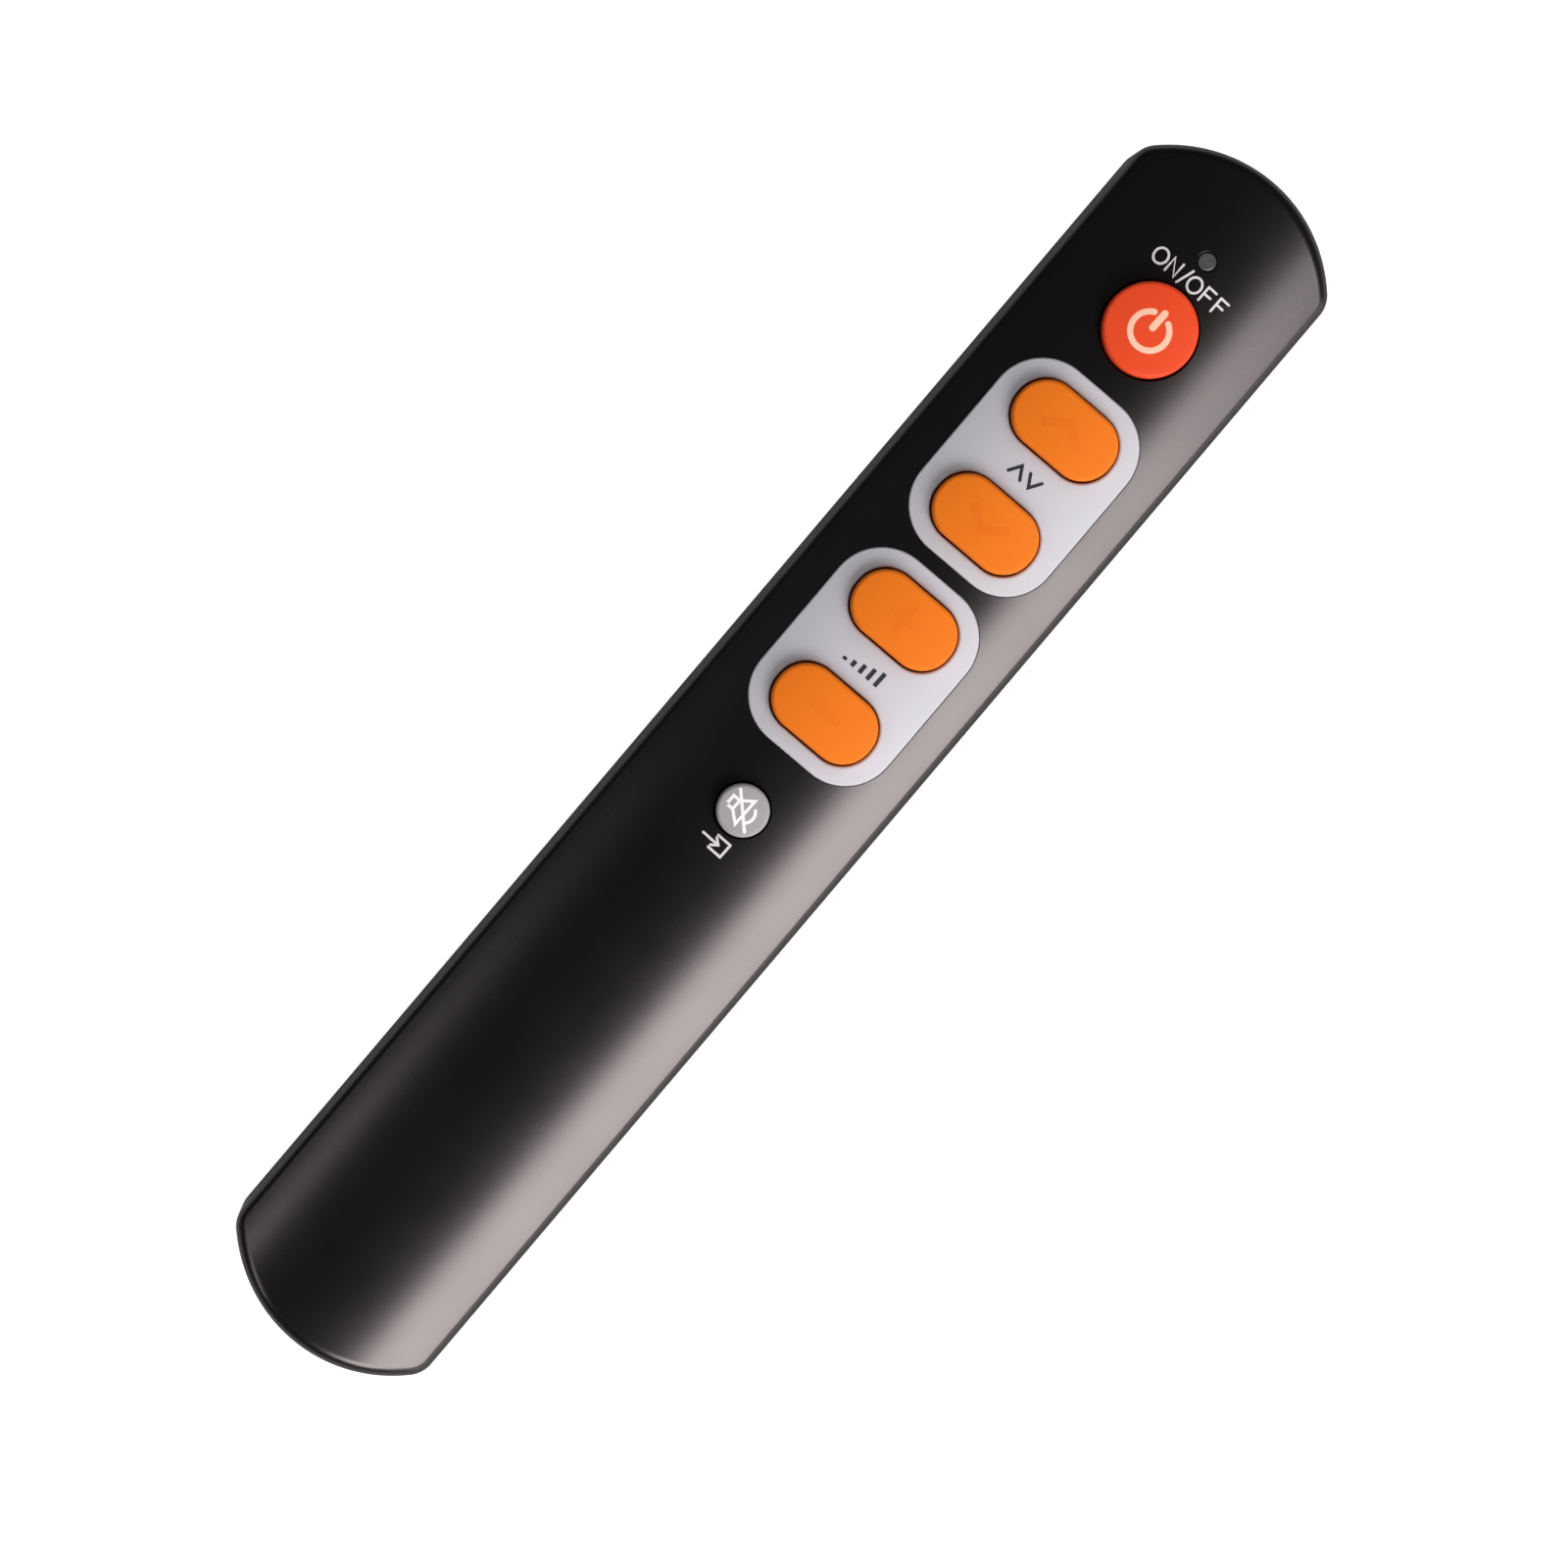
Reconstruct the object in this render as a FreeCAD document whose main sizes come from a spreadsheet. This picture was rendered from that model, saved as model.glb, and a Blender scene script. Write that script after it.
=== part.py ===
import FreeCAD, Part
import math
import os

import Sketcher
from FreeCAD import Vector

# A slim learning remote control that lies on its back: X across, Y along towards the infrared end,
# Z up through the keys. The origin is on the back face, under the middle of the body. Millimetres.

SIZES = (
    ("body_length", 172.3, "case, end to end"),
    ("body_width", 28.0, "case, side to side"),
    ("body_height", 18.0, "back face to the top of the crowned front"),
    ("end_radius", 18.6, "arc of each end, seen from the front"),
    ("corner_radius", 3.5, "corner between a side and an end arc"),
    ("crown_radius", 32.0, "curve of the front face across the width"),
    ("rim_radius", 1.6, "rounding where the front face meets the sides"),
    ("back_radius", 2.5, "rounding where the back meets the sides"),
    ("side_wall", 1.6, "side and end walls of both shells"),
    ("front_wall", 1.8, "wall under the crowned front"),
    ("floor_wall", 1.8, "wall of the back"),
    ("inside_radius", 0.8, "rounding between the back's wall and the sides, inside"),
    ("seam_height", 8.6, "parting plane of the two shells"),
    ("seam_groove", 0.3, "shadow line around the parting plane"),
    ("lip_thick", 0.8, "rebate for the rear shell's lip"),
    ("lip_height", 1.2, "height of the rear shell's lip"),
    ("fit_gap", 0.1, "clearance between pieces that are assembled"),
    ("touch_gap", 0.05, "clearance under a curved or soldered seat"),
    ("power_inset", 22.05, "power key's centre from the infrared end"),
    ("channel_inset", 43.9, "upper panel's centre from the infrared end, midway between its keys"),
    ("volume_inset", 72.05, "lower panel's centre from the infrared end, midway between its keys"),
    ("mute_inset", 93.35, "mute key's centre from the infrared end"),
    ("oval_pitch", 13.9, "between the two oval keys of a panel"),
    ("power_diameter", 11.0, "power key"),
    ("mute_diameter", 6.1, "mute key"),
    ("oval_width", 13.3, "oval key, across"),
    ("oval_length", 8.0, "oval key, along"),
    ("oval_corner", 3.85, "oval key's end rounding"),
    ("key_gap", 0.3, "open gap around a key"),
    ("key_proud", 1.6, "key's top above the crown"),
    ("key_edge", 0.5, "rounding of a key's top"),
    ("key_travel", 0.8, "stroke of a key"),
    ("flange_rim", 0.45, "key's flange past its opening"),
    ("flange_thick", 0.8, "key's flange"),
    ("collar_wall", 1.0, "guide collar inside the front shell, around each key"),
    ("panel_width", 18.9, "silver panel, across"),
    ("panel_length", 26.3, "silver panel, along"),
    ("panel_corner", 6.3, "silver panel's corner"),
    ("panel_pocket", 0.6, "depth of the panel's seat in the front shell"),
    ("panel_proud", 0.2, "panel's top above the crown"),
    ("panel_edge", 0.3, "rounding of the panel's outer edge"),
    ("board_height", 9.0, "underside of the circuit board"),
    ("board_thick", 1.2, "circuit board"),
    ("board_gap", 0.5, "between the board and the side walls"),
    ("board_room", 0.9, "between the board and the battery bay's wall"),
    ("board_inset", 13.35, "board's edge from the infrared end"),
    ("tab_width", 3.2, "board's middle tab under the indicator"),
    ("tab_length", 3.8, "board's middle tab under the indicator"),
    ("mat_thick", 1.0, "rubber mat"),
    ("mat_gap", 0.4, "mat's sides in from the board's"),
    ("mat_past_mute", 6.5, "mat's edge below the mute key's centre"),
    ("mat_past_power", 5.6, "mat's edge above the power key's centre"),
    ("mat_corner", 2.0, "mat's corner"),
    ("pad_thick", 0.1, "printed key contact on the board"),
    ("pad_split", 0.4, "gap between a contact's two halves"),
    ("pill_thick", 0.5, "conductive pill under a key"),
    ("pill_radius", 2.2, "pill of a large key"),
    ("small_pill_radius", 1.5, "pill of the mute key"),
    ("boss_rim", 0.3, "key's boss past its pill"),
    ("dome_room", 0.9, "dome's foot past the key's boss"),
    ("dome_lean", 0.4, "how far the dome leans in from foot to top"),
    ("dome_wall", 0.45, "dome's wall"),
    ("dome_rest", 0.2, "dome's height with the key pressed"),
    ("screw_room", 2.7, "upper case screw from the power key's edge"),
    ("low_screw_inset", 8.1, "lower case screw from the board's edge"),
    ("screw_radius", 0.8, "screw's shank"),
    ("screw_length", 9.4, "screw's shank"),
    ("head_radius", 1.7, "screw's head"),
    ("head_thick", 1.4, "screw's head"),
    ("head_depth", 4.0, "screw's seat above the back face"),
    ("head_gap", 0.3, "around the screw's head in its recess"),
    ("slot_width", 0.4, "cross in the screw's head"),
    ("slot_depth", 0.7, "cross in the screw's head"),
    ("front_boss_radius", 1.55, "screw boss of the front shell"),
    ("rear_boss_radius", 3.0, "screw boss of the rear shell"),
    ("pilot_depth", 4.6, "pilot hole in the front shell's boss"),
    ("post_radius", 1.2, "board posts of the rear shell"),
    ("post_inset", 1.3, "board post's centre from the board's long edge"),
    ("post_end_inset", 2.8, "outer board posts' centres from the board's ends"),
    ("rib_width", 3.0, "hold-down ribs of the front shell, along"),
    ("rib_depth", 1.2, "hold-down ribs, in from the side wall"),
    ("cell_diameter", 10.5, "AAA cell"),
    ("cell_length", 44.5, "AAA cell with its nub"),
    ("nub_diameter", 3.8, "cell's positive nub"),
    ("nub_length", 1.2, "cell's positive nub"),
    ("cell_edge", 0.5, "rounding of the cell's can"),
    ("cell_gap", 0.2, "between the two cells"),
    ("bay_gap", 0.25, "around the cells in their bay"),
    ("bay_wall", 0.9, "walls and roof of the battery bay"),
    ("bay_inset", 8.15, "inner face of the bay's far wall from the case's lower end"),
    ("spring_space", 5.2, "room for a compressed contact spring"),
    ("spring_turns", 4.0, "turns of a contact spring"),
    ("spring_radius", 3.2, "spring's wide end, to the wire's middle"),
    ("spring_tip_radius", 2.0, "spring's cell end, to the wire's middle"),
    ("wire_radius", 0.25, "spring wire"),
    ("plate_thick", 0.4, "contact plates"),
    ("plate_width", 9.0, "contact plate of one cell"),
    ("plate_height", 9.4, "contact plates"),
    ("nub_gap", 0.1, "between a nub and its plate"),
    ("tail_width", 2.0, "solder tail of a plate"),
    ("tail_reach", 4.0, "solder tail's length on the board"),
    ("rail_top", 3.2, "ledge around the bay's mouth"),
    ("rail_length", 3.0, "ledge on the board side of the bay"),
    ("door_thick", 1.6, "battery door"),
    ("tongue_width", 1.0, "door's tongue in the shell's groove"),
    ("tongue_thick", 0.8, "door's tongue in the shell's groove"),
    ("grip_count", 6.0, "finger grooves in the door"),
    ("grip_pitch", 1.6, "finger grooves in the door"),
    ("grip_width", 0.8, "finger groove"),
    ("grip_length", 12.0, "finger groove, across"),
    ("grip_depth", 0.35, "finger groove"),
    ("grip_inset", 5.0, "first groove from the door's inner edge"),
    ("window_width", 16.2, "opening for the infrared window"),
    ("window_bottom", 7.0, "opening for the infrared window"),
    ("window_top", 13.6, "opening for the infrared window"),
    ("window_flange", 0.9, "window's flange past its opening"),
    ("window_flange_thick", 1.0, "window's flange"),
    ("led_radius", 2.5, "infrared LED and receiver"),
    ("led_flange_radius", 2.9, "infrared LED's base"),
    ("led_flange_thick", 1.0, "infrared LED's base"),
    ("led_length", 8.6, "infrared LED from base to tip"),
    ("led_spread", 5.2, "LED and receiver from the middle"),
    ("led_gap", 0.8, "LED's base from the board's edge"),
    ("lead_size", 0.5, "LED leads"),
    ("lead_pitch", 2.54, "LED leads"),
    ("lead_reach", 2.6, "LED leads on the board"),
    ("indicator_inset", 11.9, "indicator's centre from the infrared end"),
    ("lens_radius", 1.1, "indicator lens"),
    ("lens_flange_radius", 1.8, "indicator lens, inside the shell"),
    ("lens_flange_thick", 0.9, "indicator lens, inside the shell"),
    ("lens_recess", 0.1, "lens below the crown"),
    ("lens_gap", 0.3, "between the lens and the indicator chip"),
    ("lens_edge", 0.3, "rounding of the lens's top"),
    ("chip_led_length", 2.0, "indicator chip on the board"),
    ("chip_led_width", 1.25, "indicator chip on the board"),
    ("chip_led_thick", 0.8, "indicator chip on the board"),
    ("chip_length", 12.8, "controller chip"),
    ("chip_width", 7.5, "controller chip"),
    ("chip_thick", 2.3, "controller chip"),
    ("chip_inset", 42.8, "controller chip's centre from the board's infrared edge"),
    ("memory_length", 4.9, "memory chip"),
    ("memory_width", 3.9, "memory chip"),
    ("memory_thick", 1.5, "memory chip"),
    ("memory_inset", 28.8, "memory chip's centre from the board's infrared edge"),
    ("chip_corner", 0.3, "moulded corners of the chips"),
    ("chip_lift", 0.1, "between a chip and the board"),
    ("pin_pitch", 1.27, "chip pins"),
    ("pin_width", 0.4, "chip pins"),
    ("pin_thick", 0.25, "chip pins"),
    ("pin_reach", 1.3, "chip pins, out from the chip"),
    ("crystal_length", 11.0, "crystal can"),
    ("crystal_width", 4.6, "crystal can"),
    ("crystal_thick", 3.5, "crystal can"),
    ("crystal_corner", 2.0, "crystal can's rounded ends"),
    ("part_x", 5.6, "crystal and capacitor from the middle"),
    ("part_inset", 64.8, "crystal and capacitor's centre from the board's infrared edge"),
    ("capacitor_radius", 2.5, "capacitor can"),
    ("capacitor_length", 11.0, "capacitor can"),
    ("capacitor_edge", 0.4, "rounding of the capacitor's ends"),
    ("transistor_radius", 2.3, "LED driver transistor"),
    ("transistor_length", 4.6, "LED driver transistor"),
    ("transistor_flat", 1.0, "transistor's flat side from its axis"),
    ("transistor_x", 4.5, "LED driver transistor's centre"),
    ("transistor_inset", 6.3, "LED driver transistor's centre from the board's infrared edge"),
    ("resistor_length", 2.0, "chip resistor"),
    ("resistor_width", 1.25, "chip resistor"),
    ("resistor_thick", 0.5, "chip resistor"),
    ("resistor_x", 7.0, "row of chip resistors from the middle"),
    ("resistor_pitch", 4.0, "row of chip resistors beside the controller"),
    ("solder_radius", 0.9, "solder joint"),
    ("solder_height", 0.5, "solder joint"),
)

# Worked out from the sizes above; each may use those before it.
LEVELS = (
    ("plain", "0"),
    ("far_end", "Sizes.body_length / 2"),
    ("arc_centre", "far_end - Sizes.end_radius"),
    ("crown_axis", "Sizes.body_height - Sizes.crown_radius"),
    ("inner_crown", "Sizes.crown_radius - Sizes.front_wall"),
    ("middle_crown", "Sizes.crown_radius - Sizes.front_wall / 2"),
    ("key_crown", "Sizes.crown_radius + Sizes.key_proud"),
    ("panel_crown", "Sizes.crown_radius + Sizes.panel_proud"),
    ("pocket_crown", "Sizes.crown_radius - Sizes.panel_pocket"),
    ("rebate_inset", "Sizes.side_wall - Sizes.lip_thick"),
    ("lip_inset", "rebate_inset + Sizes.fit_gap"),
    ("window_inset", "Sizes.side_wall + Sizes.touch_gap"),
    ("window_back", "window_inset + Sizes.window_flange_thick"),
    ("board_top", "Sizes.board_height + Sizes.board_thick"),
    ("mat_top", "board_top + Sizes.mat_thick"),
    ("pill_bottom", "board_top + Sizes.pad_thick + Sizes.key_travel"),
    ("boss_bottom", "pill_bottom + Sizes.pill_thick"),
    ("flange_bottom", "mat_top + Sizes.key_travel + Sizes.dome_rest"),
    ("flange_grow", "Sizes.key_gap + Sizes.flange_rim"),
    ("collar_grow", "Sizes.key_gap + Sizes.collar_wall"),
    ("foot_radius", "Sizes.pill_radius + Sizes.boss_rim + Sizes.dome_room"),
    ("small_foot_radius", "Sizes.small_pill_radius + Sizes.boss_rim + Sizes.dome_room"),
    ("screw_hole", "Sizes.screw_radius + Sizes.fit_gap"),
    ("boss_hole", "Sizes.front_boss_radius + Sizes.fit_gap"),
    ("flange_top", "flange_bottom + Sizes.flange_thick"),
    ("collar_bottom", "flange_top + Sizes.fit_gap"),
    ("power_y", "far_end - Sizes.power_inset"),
    ("channel_panel_y", "far_end - Sizes.channel_inset"),
    ("volume_panel_y", "far_end - Sizes.volume_inset"),
    ("mute_y", "far_end - Sizes.mute_inset"),
    ("indicator_y", "far_end - Sizes.indicator_inset"),
    ("channel_up_y", "channel_panel_y + Sizes.oval_pitch / 2"),
    ("channel_down_y", "channel_panel_y - Sizes.oval_pitch / 2"),
    ("volume_up_y", "volume_panel_y + Sizes.oval_pitch / 2"),
    ("volume_down_y", "volume_panel_y - Sizes.oval_pitch / 2"),
    ("cell_x", "(Sizes.cell_diameter + Sizes.cell_gap) / 2"),
    ("cell_z", "Sizes.door_thick + Sizes.bay_gap + Sizes.cell_diameter / 2"),
    ("bay_half", "cell_x + Sizes.cell_diameter / 2 + Sizes.bay_gap"),
    ("bay_roof", "cell_z + Sizes.cell_diameter / 2 + Sizes.bay_gap"),
    ("bay_length", "Sizes.cell_length + Sizes.nub_gap + Sizes.spring_space + 2 * Sizes.plate_thick"),
    ("bay_end", "Sizes.bay_inset - far_end"),
    ("bay_start", "bay_end + bay_length"),
    ("tray_inset", "Sizes.side_wall + Sizes.fit_gap"),
    ("room_crown", "inner_crown - Sizes.fit_gap"),
    ("bay_crown", "room_crown - Sizes.bay_wall"),
    ("plate_bottom", "cell_z - Sizes.plate_height / 2"),
    ("tail_bottom", "board_top + Sizes.touch_gap"),
    ("door_half", "bay_half - Sizes.fit_gap"),
    ("tongue_half", "door_half + Sizes.tongue_width"),
    ("tongue_bottom", "Sizes.door_thick - Sizes.tongue_thick"),
    ("door_start", "bay_start + Sizes.bay_wall"),
    ("board_start", "door_start + Sizes.board_room"),
    ("board_end", "far_end - Sizes.board_inset"),
    ("board_width", "Sizes.body_width - 2 * (Sizes.side_wall + Sizes.board_gap)"),
    ("led_base", "board_end + Sizes.led_gap"),
    ("led_z", "board_top + Sizes.touch_gap + Sizes.lead_size / 2"),
    ("post_x", "board_width / 2 - Sizes.post_inset"),
    ("mat_width", "board_width - 2 * Sizes.mat_gap"),
    ("mat_start", "mute_y - Sizes.mat_past_mute"),
    ("mat_end", "power_y + Sizes.mat_past_power"),
    ("mat_length", "mat_end - mat_start"),
    ("screw_y", "power_y - Sizes.power_diameter / 2 - Sizes.screw_room"),
    ("low_screw_y", "board_start + Sizes.low_screw_inset"),
    ("post_far_y", "board_end - Sizes.post_end_inset"),
    ("post_near_y", "board_start + Sizes.post_end_inset"),
    ("between_panels_y", "(channel_panel_y + volume_panel_y) / 2"),
    ("above_mute_y", "(mute_y + volume_down_y) / 2"),
    ("chip_y", "board_end - Sizes.chip_inset"),
    ("memory_y", "board_end - Sizes.memory_inset"),
    ("part_y", "board_end - Sizes.part_inset"),
    ("transistor_y", "board_end - Sizes.transistor_inset"),
    ("cell_radius", "Sizes.cell_diameter / 2"),
    ("nub_radius", "Sizes.nub_diameter / 2"),
)

# Name, centre along Y, and whether the key is round (with its diameter and pill) or oval.
ROUND_KEYS = (
    ("power", "Levels.power_y", "Sizes.power_diameter", "Sizes.pill_radius"),
    ("mute", "Levels.mute_y", "Sizes.mute_diameter", "Sizes.small_pill_radius"),
)
OVAL_KEYS = (
    ("channel_up", "Levels.channel_up_y"),
    ("channel_down", "Levels.channel_down_y"),
    ("volume_up", "Levels.volume_up_y"),
    ("volume_down", "Levels.volume_down_y"),
)
PANELS = (
    ("channel", "Levels.channel_panel_y", OVAL_KEYS[:2]),
    ("volume", "Levels.volume_panel_y", OVAL_KEYS[2:]),
)
SCREWS = ("Levels.screw_y", "Levels.low_screw_y")
BOARD_POSTS = ("Levels.post_far_y", "Levels.between_panels_y", "Levels.post_near_y")
HOLD_DOWNS = ("Levels.screw_y", "Levels.between_panels_y", "Levels.above_mute_y")
CONTROLLER_PINS = 10
MEMORY_PINS = 4

document = FreeCAD.newDocument("learning_remote")


def write_sheet():
    """Put the driving sizes in the spreadsheet, one row each."""
    sheet = document.addObject("Spreadsheet::Sheet", "Sizes")
    for row, (alias, number, note) in enumerate(SIZES, start=1):
        sheet.set(f"A{row}", alias)
        sheet.set(f"B{row}", str(number))
        sheet.set(f"C{row}", note)
        sheet.setAlias(f"B{row}", alias)
    return sheet


def write_levels():
    """Keep the worked-out places as properties bound to the sheet."""
    levels = document.addObject("App::VarSet", "Levels")
    for name, text in LEVELS:
        levels.addProperty("App::PropertyFloat", name, "Levels")
        levels.setExpression(name, text)
    return levels


sizes = write_sheet()
document.recompute()
levels = write_levels()
document.recompute()


def read(reference):
    """Number behind a reference such as Sizes.side_wall or Levels.board_top."""
    holder, name = reference.split(".")
    if holder == "Sizes":
        return float(sizes.get(name))
    return float(getattr(levels, name))


def place(thing, x="0", y="0", z="0", path="Placement"):
    """Bind a position to expressions."""
    for axis, text in (("x", x), ("y", y), ("z", z)):
        if text != "0":
            thing.setExpression(f"{path}.Base.{axis}", text)
    return thing


def box(name, x, y, z, spot):
    """Box of the given sizes whose lowest corner is at spot, all expressions."""
    thing = document.addObject("Part::Box", name)
    for side, text in (("Length", x), ("Width", y), ("Height", z)):
        thing.setExpression(side, text)
    return place(thing, *spot)


def middle_box(name, x, y, z, spot):
    """Box centred on spot in X and Y, standing on it in Z."""
    corner = (f"{spot[0]} - ({x}) / 2", f"{spot[1]} - ({y}) / 2", spot[2])
    return box(name, x, y, z, corner)


def rod(name, radius, height, spot, along="Z"):
    """Cylinder from spot upwards, or towards +Y."""
    thing = document.addObject("Part::Cylinder", name)
    thing.setExpression("Radius", radius)
    thing.setExpression("Height", height)
    if along == "Y":
        thing.Placement.Rotation = FreeCAD.Rotation(Vector(1, 0, 0), -90)
    return place(thing, *spot)


def crown(name, radius):
    """Long cylinder along Y whose top is a surface of the crowned front."""
    return rod(name, radius, "Sizes.body_length * 2", ("0", "-Sizes.body_length", "Levels.crown_axis"), "Y")


def boolean(kind, name, base, *tools):
    """Cut, fuse or intersect; several tools are joined first."""
    tool = tools[0]
    if len(tools) > 1:
        tool = document.addObject("Part::MultiFuse", name + "_tools")
        tool.Shapes = list(tools)
    thing = document.addObject("Part::" + kind, name)
    thing.Base = base
    thing.Tool = tool
    return thing


def cut(name, base, *tools):
    """Base without the tools."""
    return boolean("Cut", name, base, *tools)


def common(name, base, *tools):
    """What base shares with the tools."""
    return boolean("Common", name, base, *tools)


def fuse(name, base, *tools):
    """Base joined with the tools."""
    return boolean("Fuse", name, base, *tools)


def group(name, things):
    """Separate solids in one piece's file."""
    thing = document.addObject("Part::Compound", name)
    thing.Links = things
    return thing


def round_edges(name, base, radius, choose):
    """Round those edges of base that choose accepts."""
    document.recompute()
    thing = document.addObject("Part::Fillet", name)
    thing.Base = base
    size = read(radius)
    chosen = [n for n, edge in enumerate(base.Shape.Edges, start=1) if choose(edge)]
    thing.Edges = [(n, size, size) for n in chosen]
    return thing


def empty_sketch(holder, name, spot):
    """Sketch on the XY plane, in a body or free, with its origin at spot."""
    if holder is None:
        sketch = document.addObject("Sketcher::SketchObject", name)
        return place(sketch, *spot)
    sketch = holder.newObject("Sketcher::SketchObject", name)
    plane = next(part for part in holder.Origin.OriginFeatures if part.Role == "XY_Plane")
    sketch.AttachmentSupport = [(plane, "")]
    sketch.MapMode = "FlatFace"
    return place(sketch, *spot, path="AttachmentOffset")


def dimension(sketch, name, text, *constraint):
    """Add a sized constraint and bind it to an expression."""
    index = sketch.addConstraint(Sketcher.Constraint(*constraint))
    sketch.renameConstraint(index, name)
    sketch.setExpression(f"Constraints.{name}", text)


def chain(sketch, curves):
    """Closed loop of curves, each tangent to the next."""
    first = sketch.addGeometry(curves, False)[0]
    count = len(curves)
    for n in range(count):
        here = first + n
        after = first + (n + 1) % count
        sketch.addConstraint(Sketcher.Constraint("Tangent", here, 2, after, 1))
    return first


def arc(x, y, radius, start, end):
    """Arc about a point, with its ends in degrees."""
    circle = Part.Circle(Vector(x, y, 0), Vector(0, 0, 1), radius)
    return Part.ArcOfCircle(circle, math.radians(start), math.radians(end))


def line(x1, y1, x2, y2):
    """Straight stretch of an outline."""
    return Part.LineSegment(Vector(x1, y1, 0), Vector(x2, y2, 0))


def outline(name, inset, z):
    """Case outline moved in by inset: straight sides, an arc at each end and rounded corners."""
    step = read(inset)
    half = read("Sizes.body_width") / 2 - step
    end = read("Sizes.end_radius") - step
    corner = read("Sizes.corner_radius") - step
    far = read("Levels.arc_centre")
    corner_x = half - corner
    corner_y = far + math.sqrt((end - corner) ** 2 - corner_x**2)
    turn = math.degrees(math.atan2(corner_y - far, corner_x))
    sketch = empty_sketch(None, name, ("0", "0", z))
    chain(
        sketch,
        [
            line(half, -corner_y, half, corner_y),
            arc(corner_x, corner_y, corner, 0, turn),
            arc(0, far, end, turn, 180 - turn),
            arc(-corner_x, corner_y, corner, 180 - turn, 180),
            line(-half, corner_y, -half, -corner_y),
            arc(-corner_x, -corner_y, corner, 180, 180 + turn),
            arc(0, -far, end, 180 + turn, 360 - turn),
            arc(corner_x, -corner_y, corner, 360 - turn, 360),
        ],
    )
    sketch.addConstraint([Sketcher.Constraint("Vertical", 0), Sketcher.Constraint("Vertical", 4)])
    dimension(sketch, "right", f"Sizes.body_width / 2 - {inset}", "DistanceX", -1, 1, 0, 1, half)
    dimension(sketch, "left", f"Sizes.body_width / 2 - {inset}", "DistanceX", 4, 1, -1, 1, half)
    for n, index in enumerate((1, 3, 5, 7)):
        dimension(sketch, f"corner_{n}", f"Sizes.corner_radius - {inset}", "Radius", index, corner)
    for n, (index, sign) in enumerate(((2, 1), (6, -1))):
        dimension(sketch, f"end_{n}", f"Sizes.end_radius - {inset}", "Radius", index, end)
        sketch.addConstraint(Sketcher.Constraint("PointOnObject", index, 3, -2))
        points = (-1, 1, index, 3) if sign > 0 else (index, 3, -1, 1)
        dimension(sketch, f"centre_{n}", "Levels.arc_centre", "DistanceY", *points, far)
    return sketch


def rounded_rectangle(holder, name, width, length, corner, spot, grow="0"):
    """Rectangle centred on spot with rounded corners; grow, an expression, moves it out all round."""
    extra = read_sum(grow)
    x = read(width) / 2 + extra
    y = read(length) / 2 + extra
    r = read(corner) + extra
    sketch = empty_sketch(holder, name, spot)
    chain(
        sketch,
        [
            line(x, -y + r, x, y - r),
            arc(x - r, y - r, r, 0, 90),
            line(x - r, y, -x + r, y),
            arc(-x + r, y - r, r, 90, 180),
            line(-x, y - r, -x, -y + r),
            arc(-x + r, -y + r, r, 180, 270),
            line(-x + r, -y, x - r, -y),
            arc(x - r, -y + r, r, 270, 360),
        ],
    )
    upright = [Sketcher.Constraint("Vertical", index) for index in (0, 4)]
    level = [Sketcher.Constraint("Horizontal", index) for index in (2, 6)]
    sketch.addConstraint(upright + level)
    for index in (1, 3, 5, 7):
        dimension(sketch, f"corner_{index}", f"{corner} + {grow}", "Radius", index, r)
    dimension(sketch, "right", f"{width} / 2 + {grow}", "DistanceX", -1, 1, 0, 1, x)
    dimension(sketch, "left", f"{width} / 2 + {grow}", "DistanceX", 4, 1, -1, 1, x)
    dimension(sketch, "top", f"{length} / 2 + {grow}", "DistanceY", -1, 1, 2, 1, y)
    dimension(sketch, "bottom", f"{length} / 2 + {grow}", "DistanceY", 6, 1, -1, 1, y)
    return sketch


def rectangle(holder, name, width, length, spot):
    """Sharp rectangle centred on spot."""
    x = read_sum(width) / 2
    y = read_sum(length) / 2
    sketch = empty_sketch(holder, name, spot)
    corners = ((x, -y), (x, y), (-x, y), (-x, -y))
    for n, start in enumerate(corners):
        sketch.addGeometry(line(*start, *corners[(n + 1) % 4]), False)
        kind = "Vertical" if n % 2 == 0 else "Horizontal"
        sketch.addConstraint(Sketcher.Constraint(kind, n))
    for n in range(4):
        sketch.addConstraint(Sketcher.Constraint("Coincident", n, 2, (n + 1) % 4, 1))
    dimension(sketch, "right", f"({width}) / 2", "DistanceX", -1, 1, 0, 1, x)
    dimension(sketch, "left", f"({width}) / 2", "DistanceX", 2, 1, -1, 1, x)
    dimension(sketch, "top", f"({length}) / 2", "DistanceY", -1, 1, 1, 1, y)
    dimension(sketch, "bottom", f"({length}) / 2", "DistanceY", 3, 1, -1, 1, y)
    return sketch


def read_sum(text):
    """Number behind references joined by + and -."""
    total = 0.0
    sign = 1.0
    for word in text.split():
        if word in "+-":
            sign = 1.0 if word == "+" else -1.0
        elif word != "0":
            total += sign * read(word)
    return total


def discs(holder, name, places, z):
    """One sketch with a circle for each (x, y, radius), all expressions with known numbers."""
    sketch = empty_sketch(holder, name, ("0", "0", z))
    for n, (x, y, radius) in enumerate(places):
        at = Vector(read_sum(x), read_sum(y), 0)
        sketch.addGeometry(Part.Circle(at, Vector(0, 0, 1), read_sum(radius)), False)
        dimension(sketch, f"radius_{n}", radius, "Radius", n, read_sum(radius))
        if x == "0":
            sketch.addConstraint(Sketcher.Constraint("PointOnObject", n, 3, -2))
        else:
            dimension(sketch, f"x_{n}", x, "DistanceX", -1, 1, n, 3, at.x)
        dimension(sketch, f"y_{n}", y, "DistanceY", -1, 1, n, 3, at.y)
    return sketch


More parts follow.
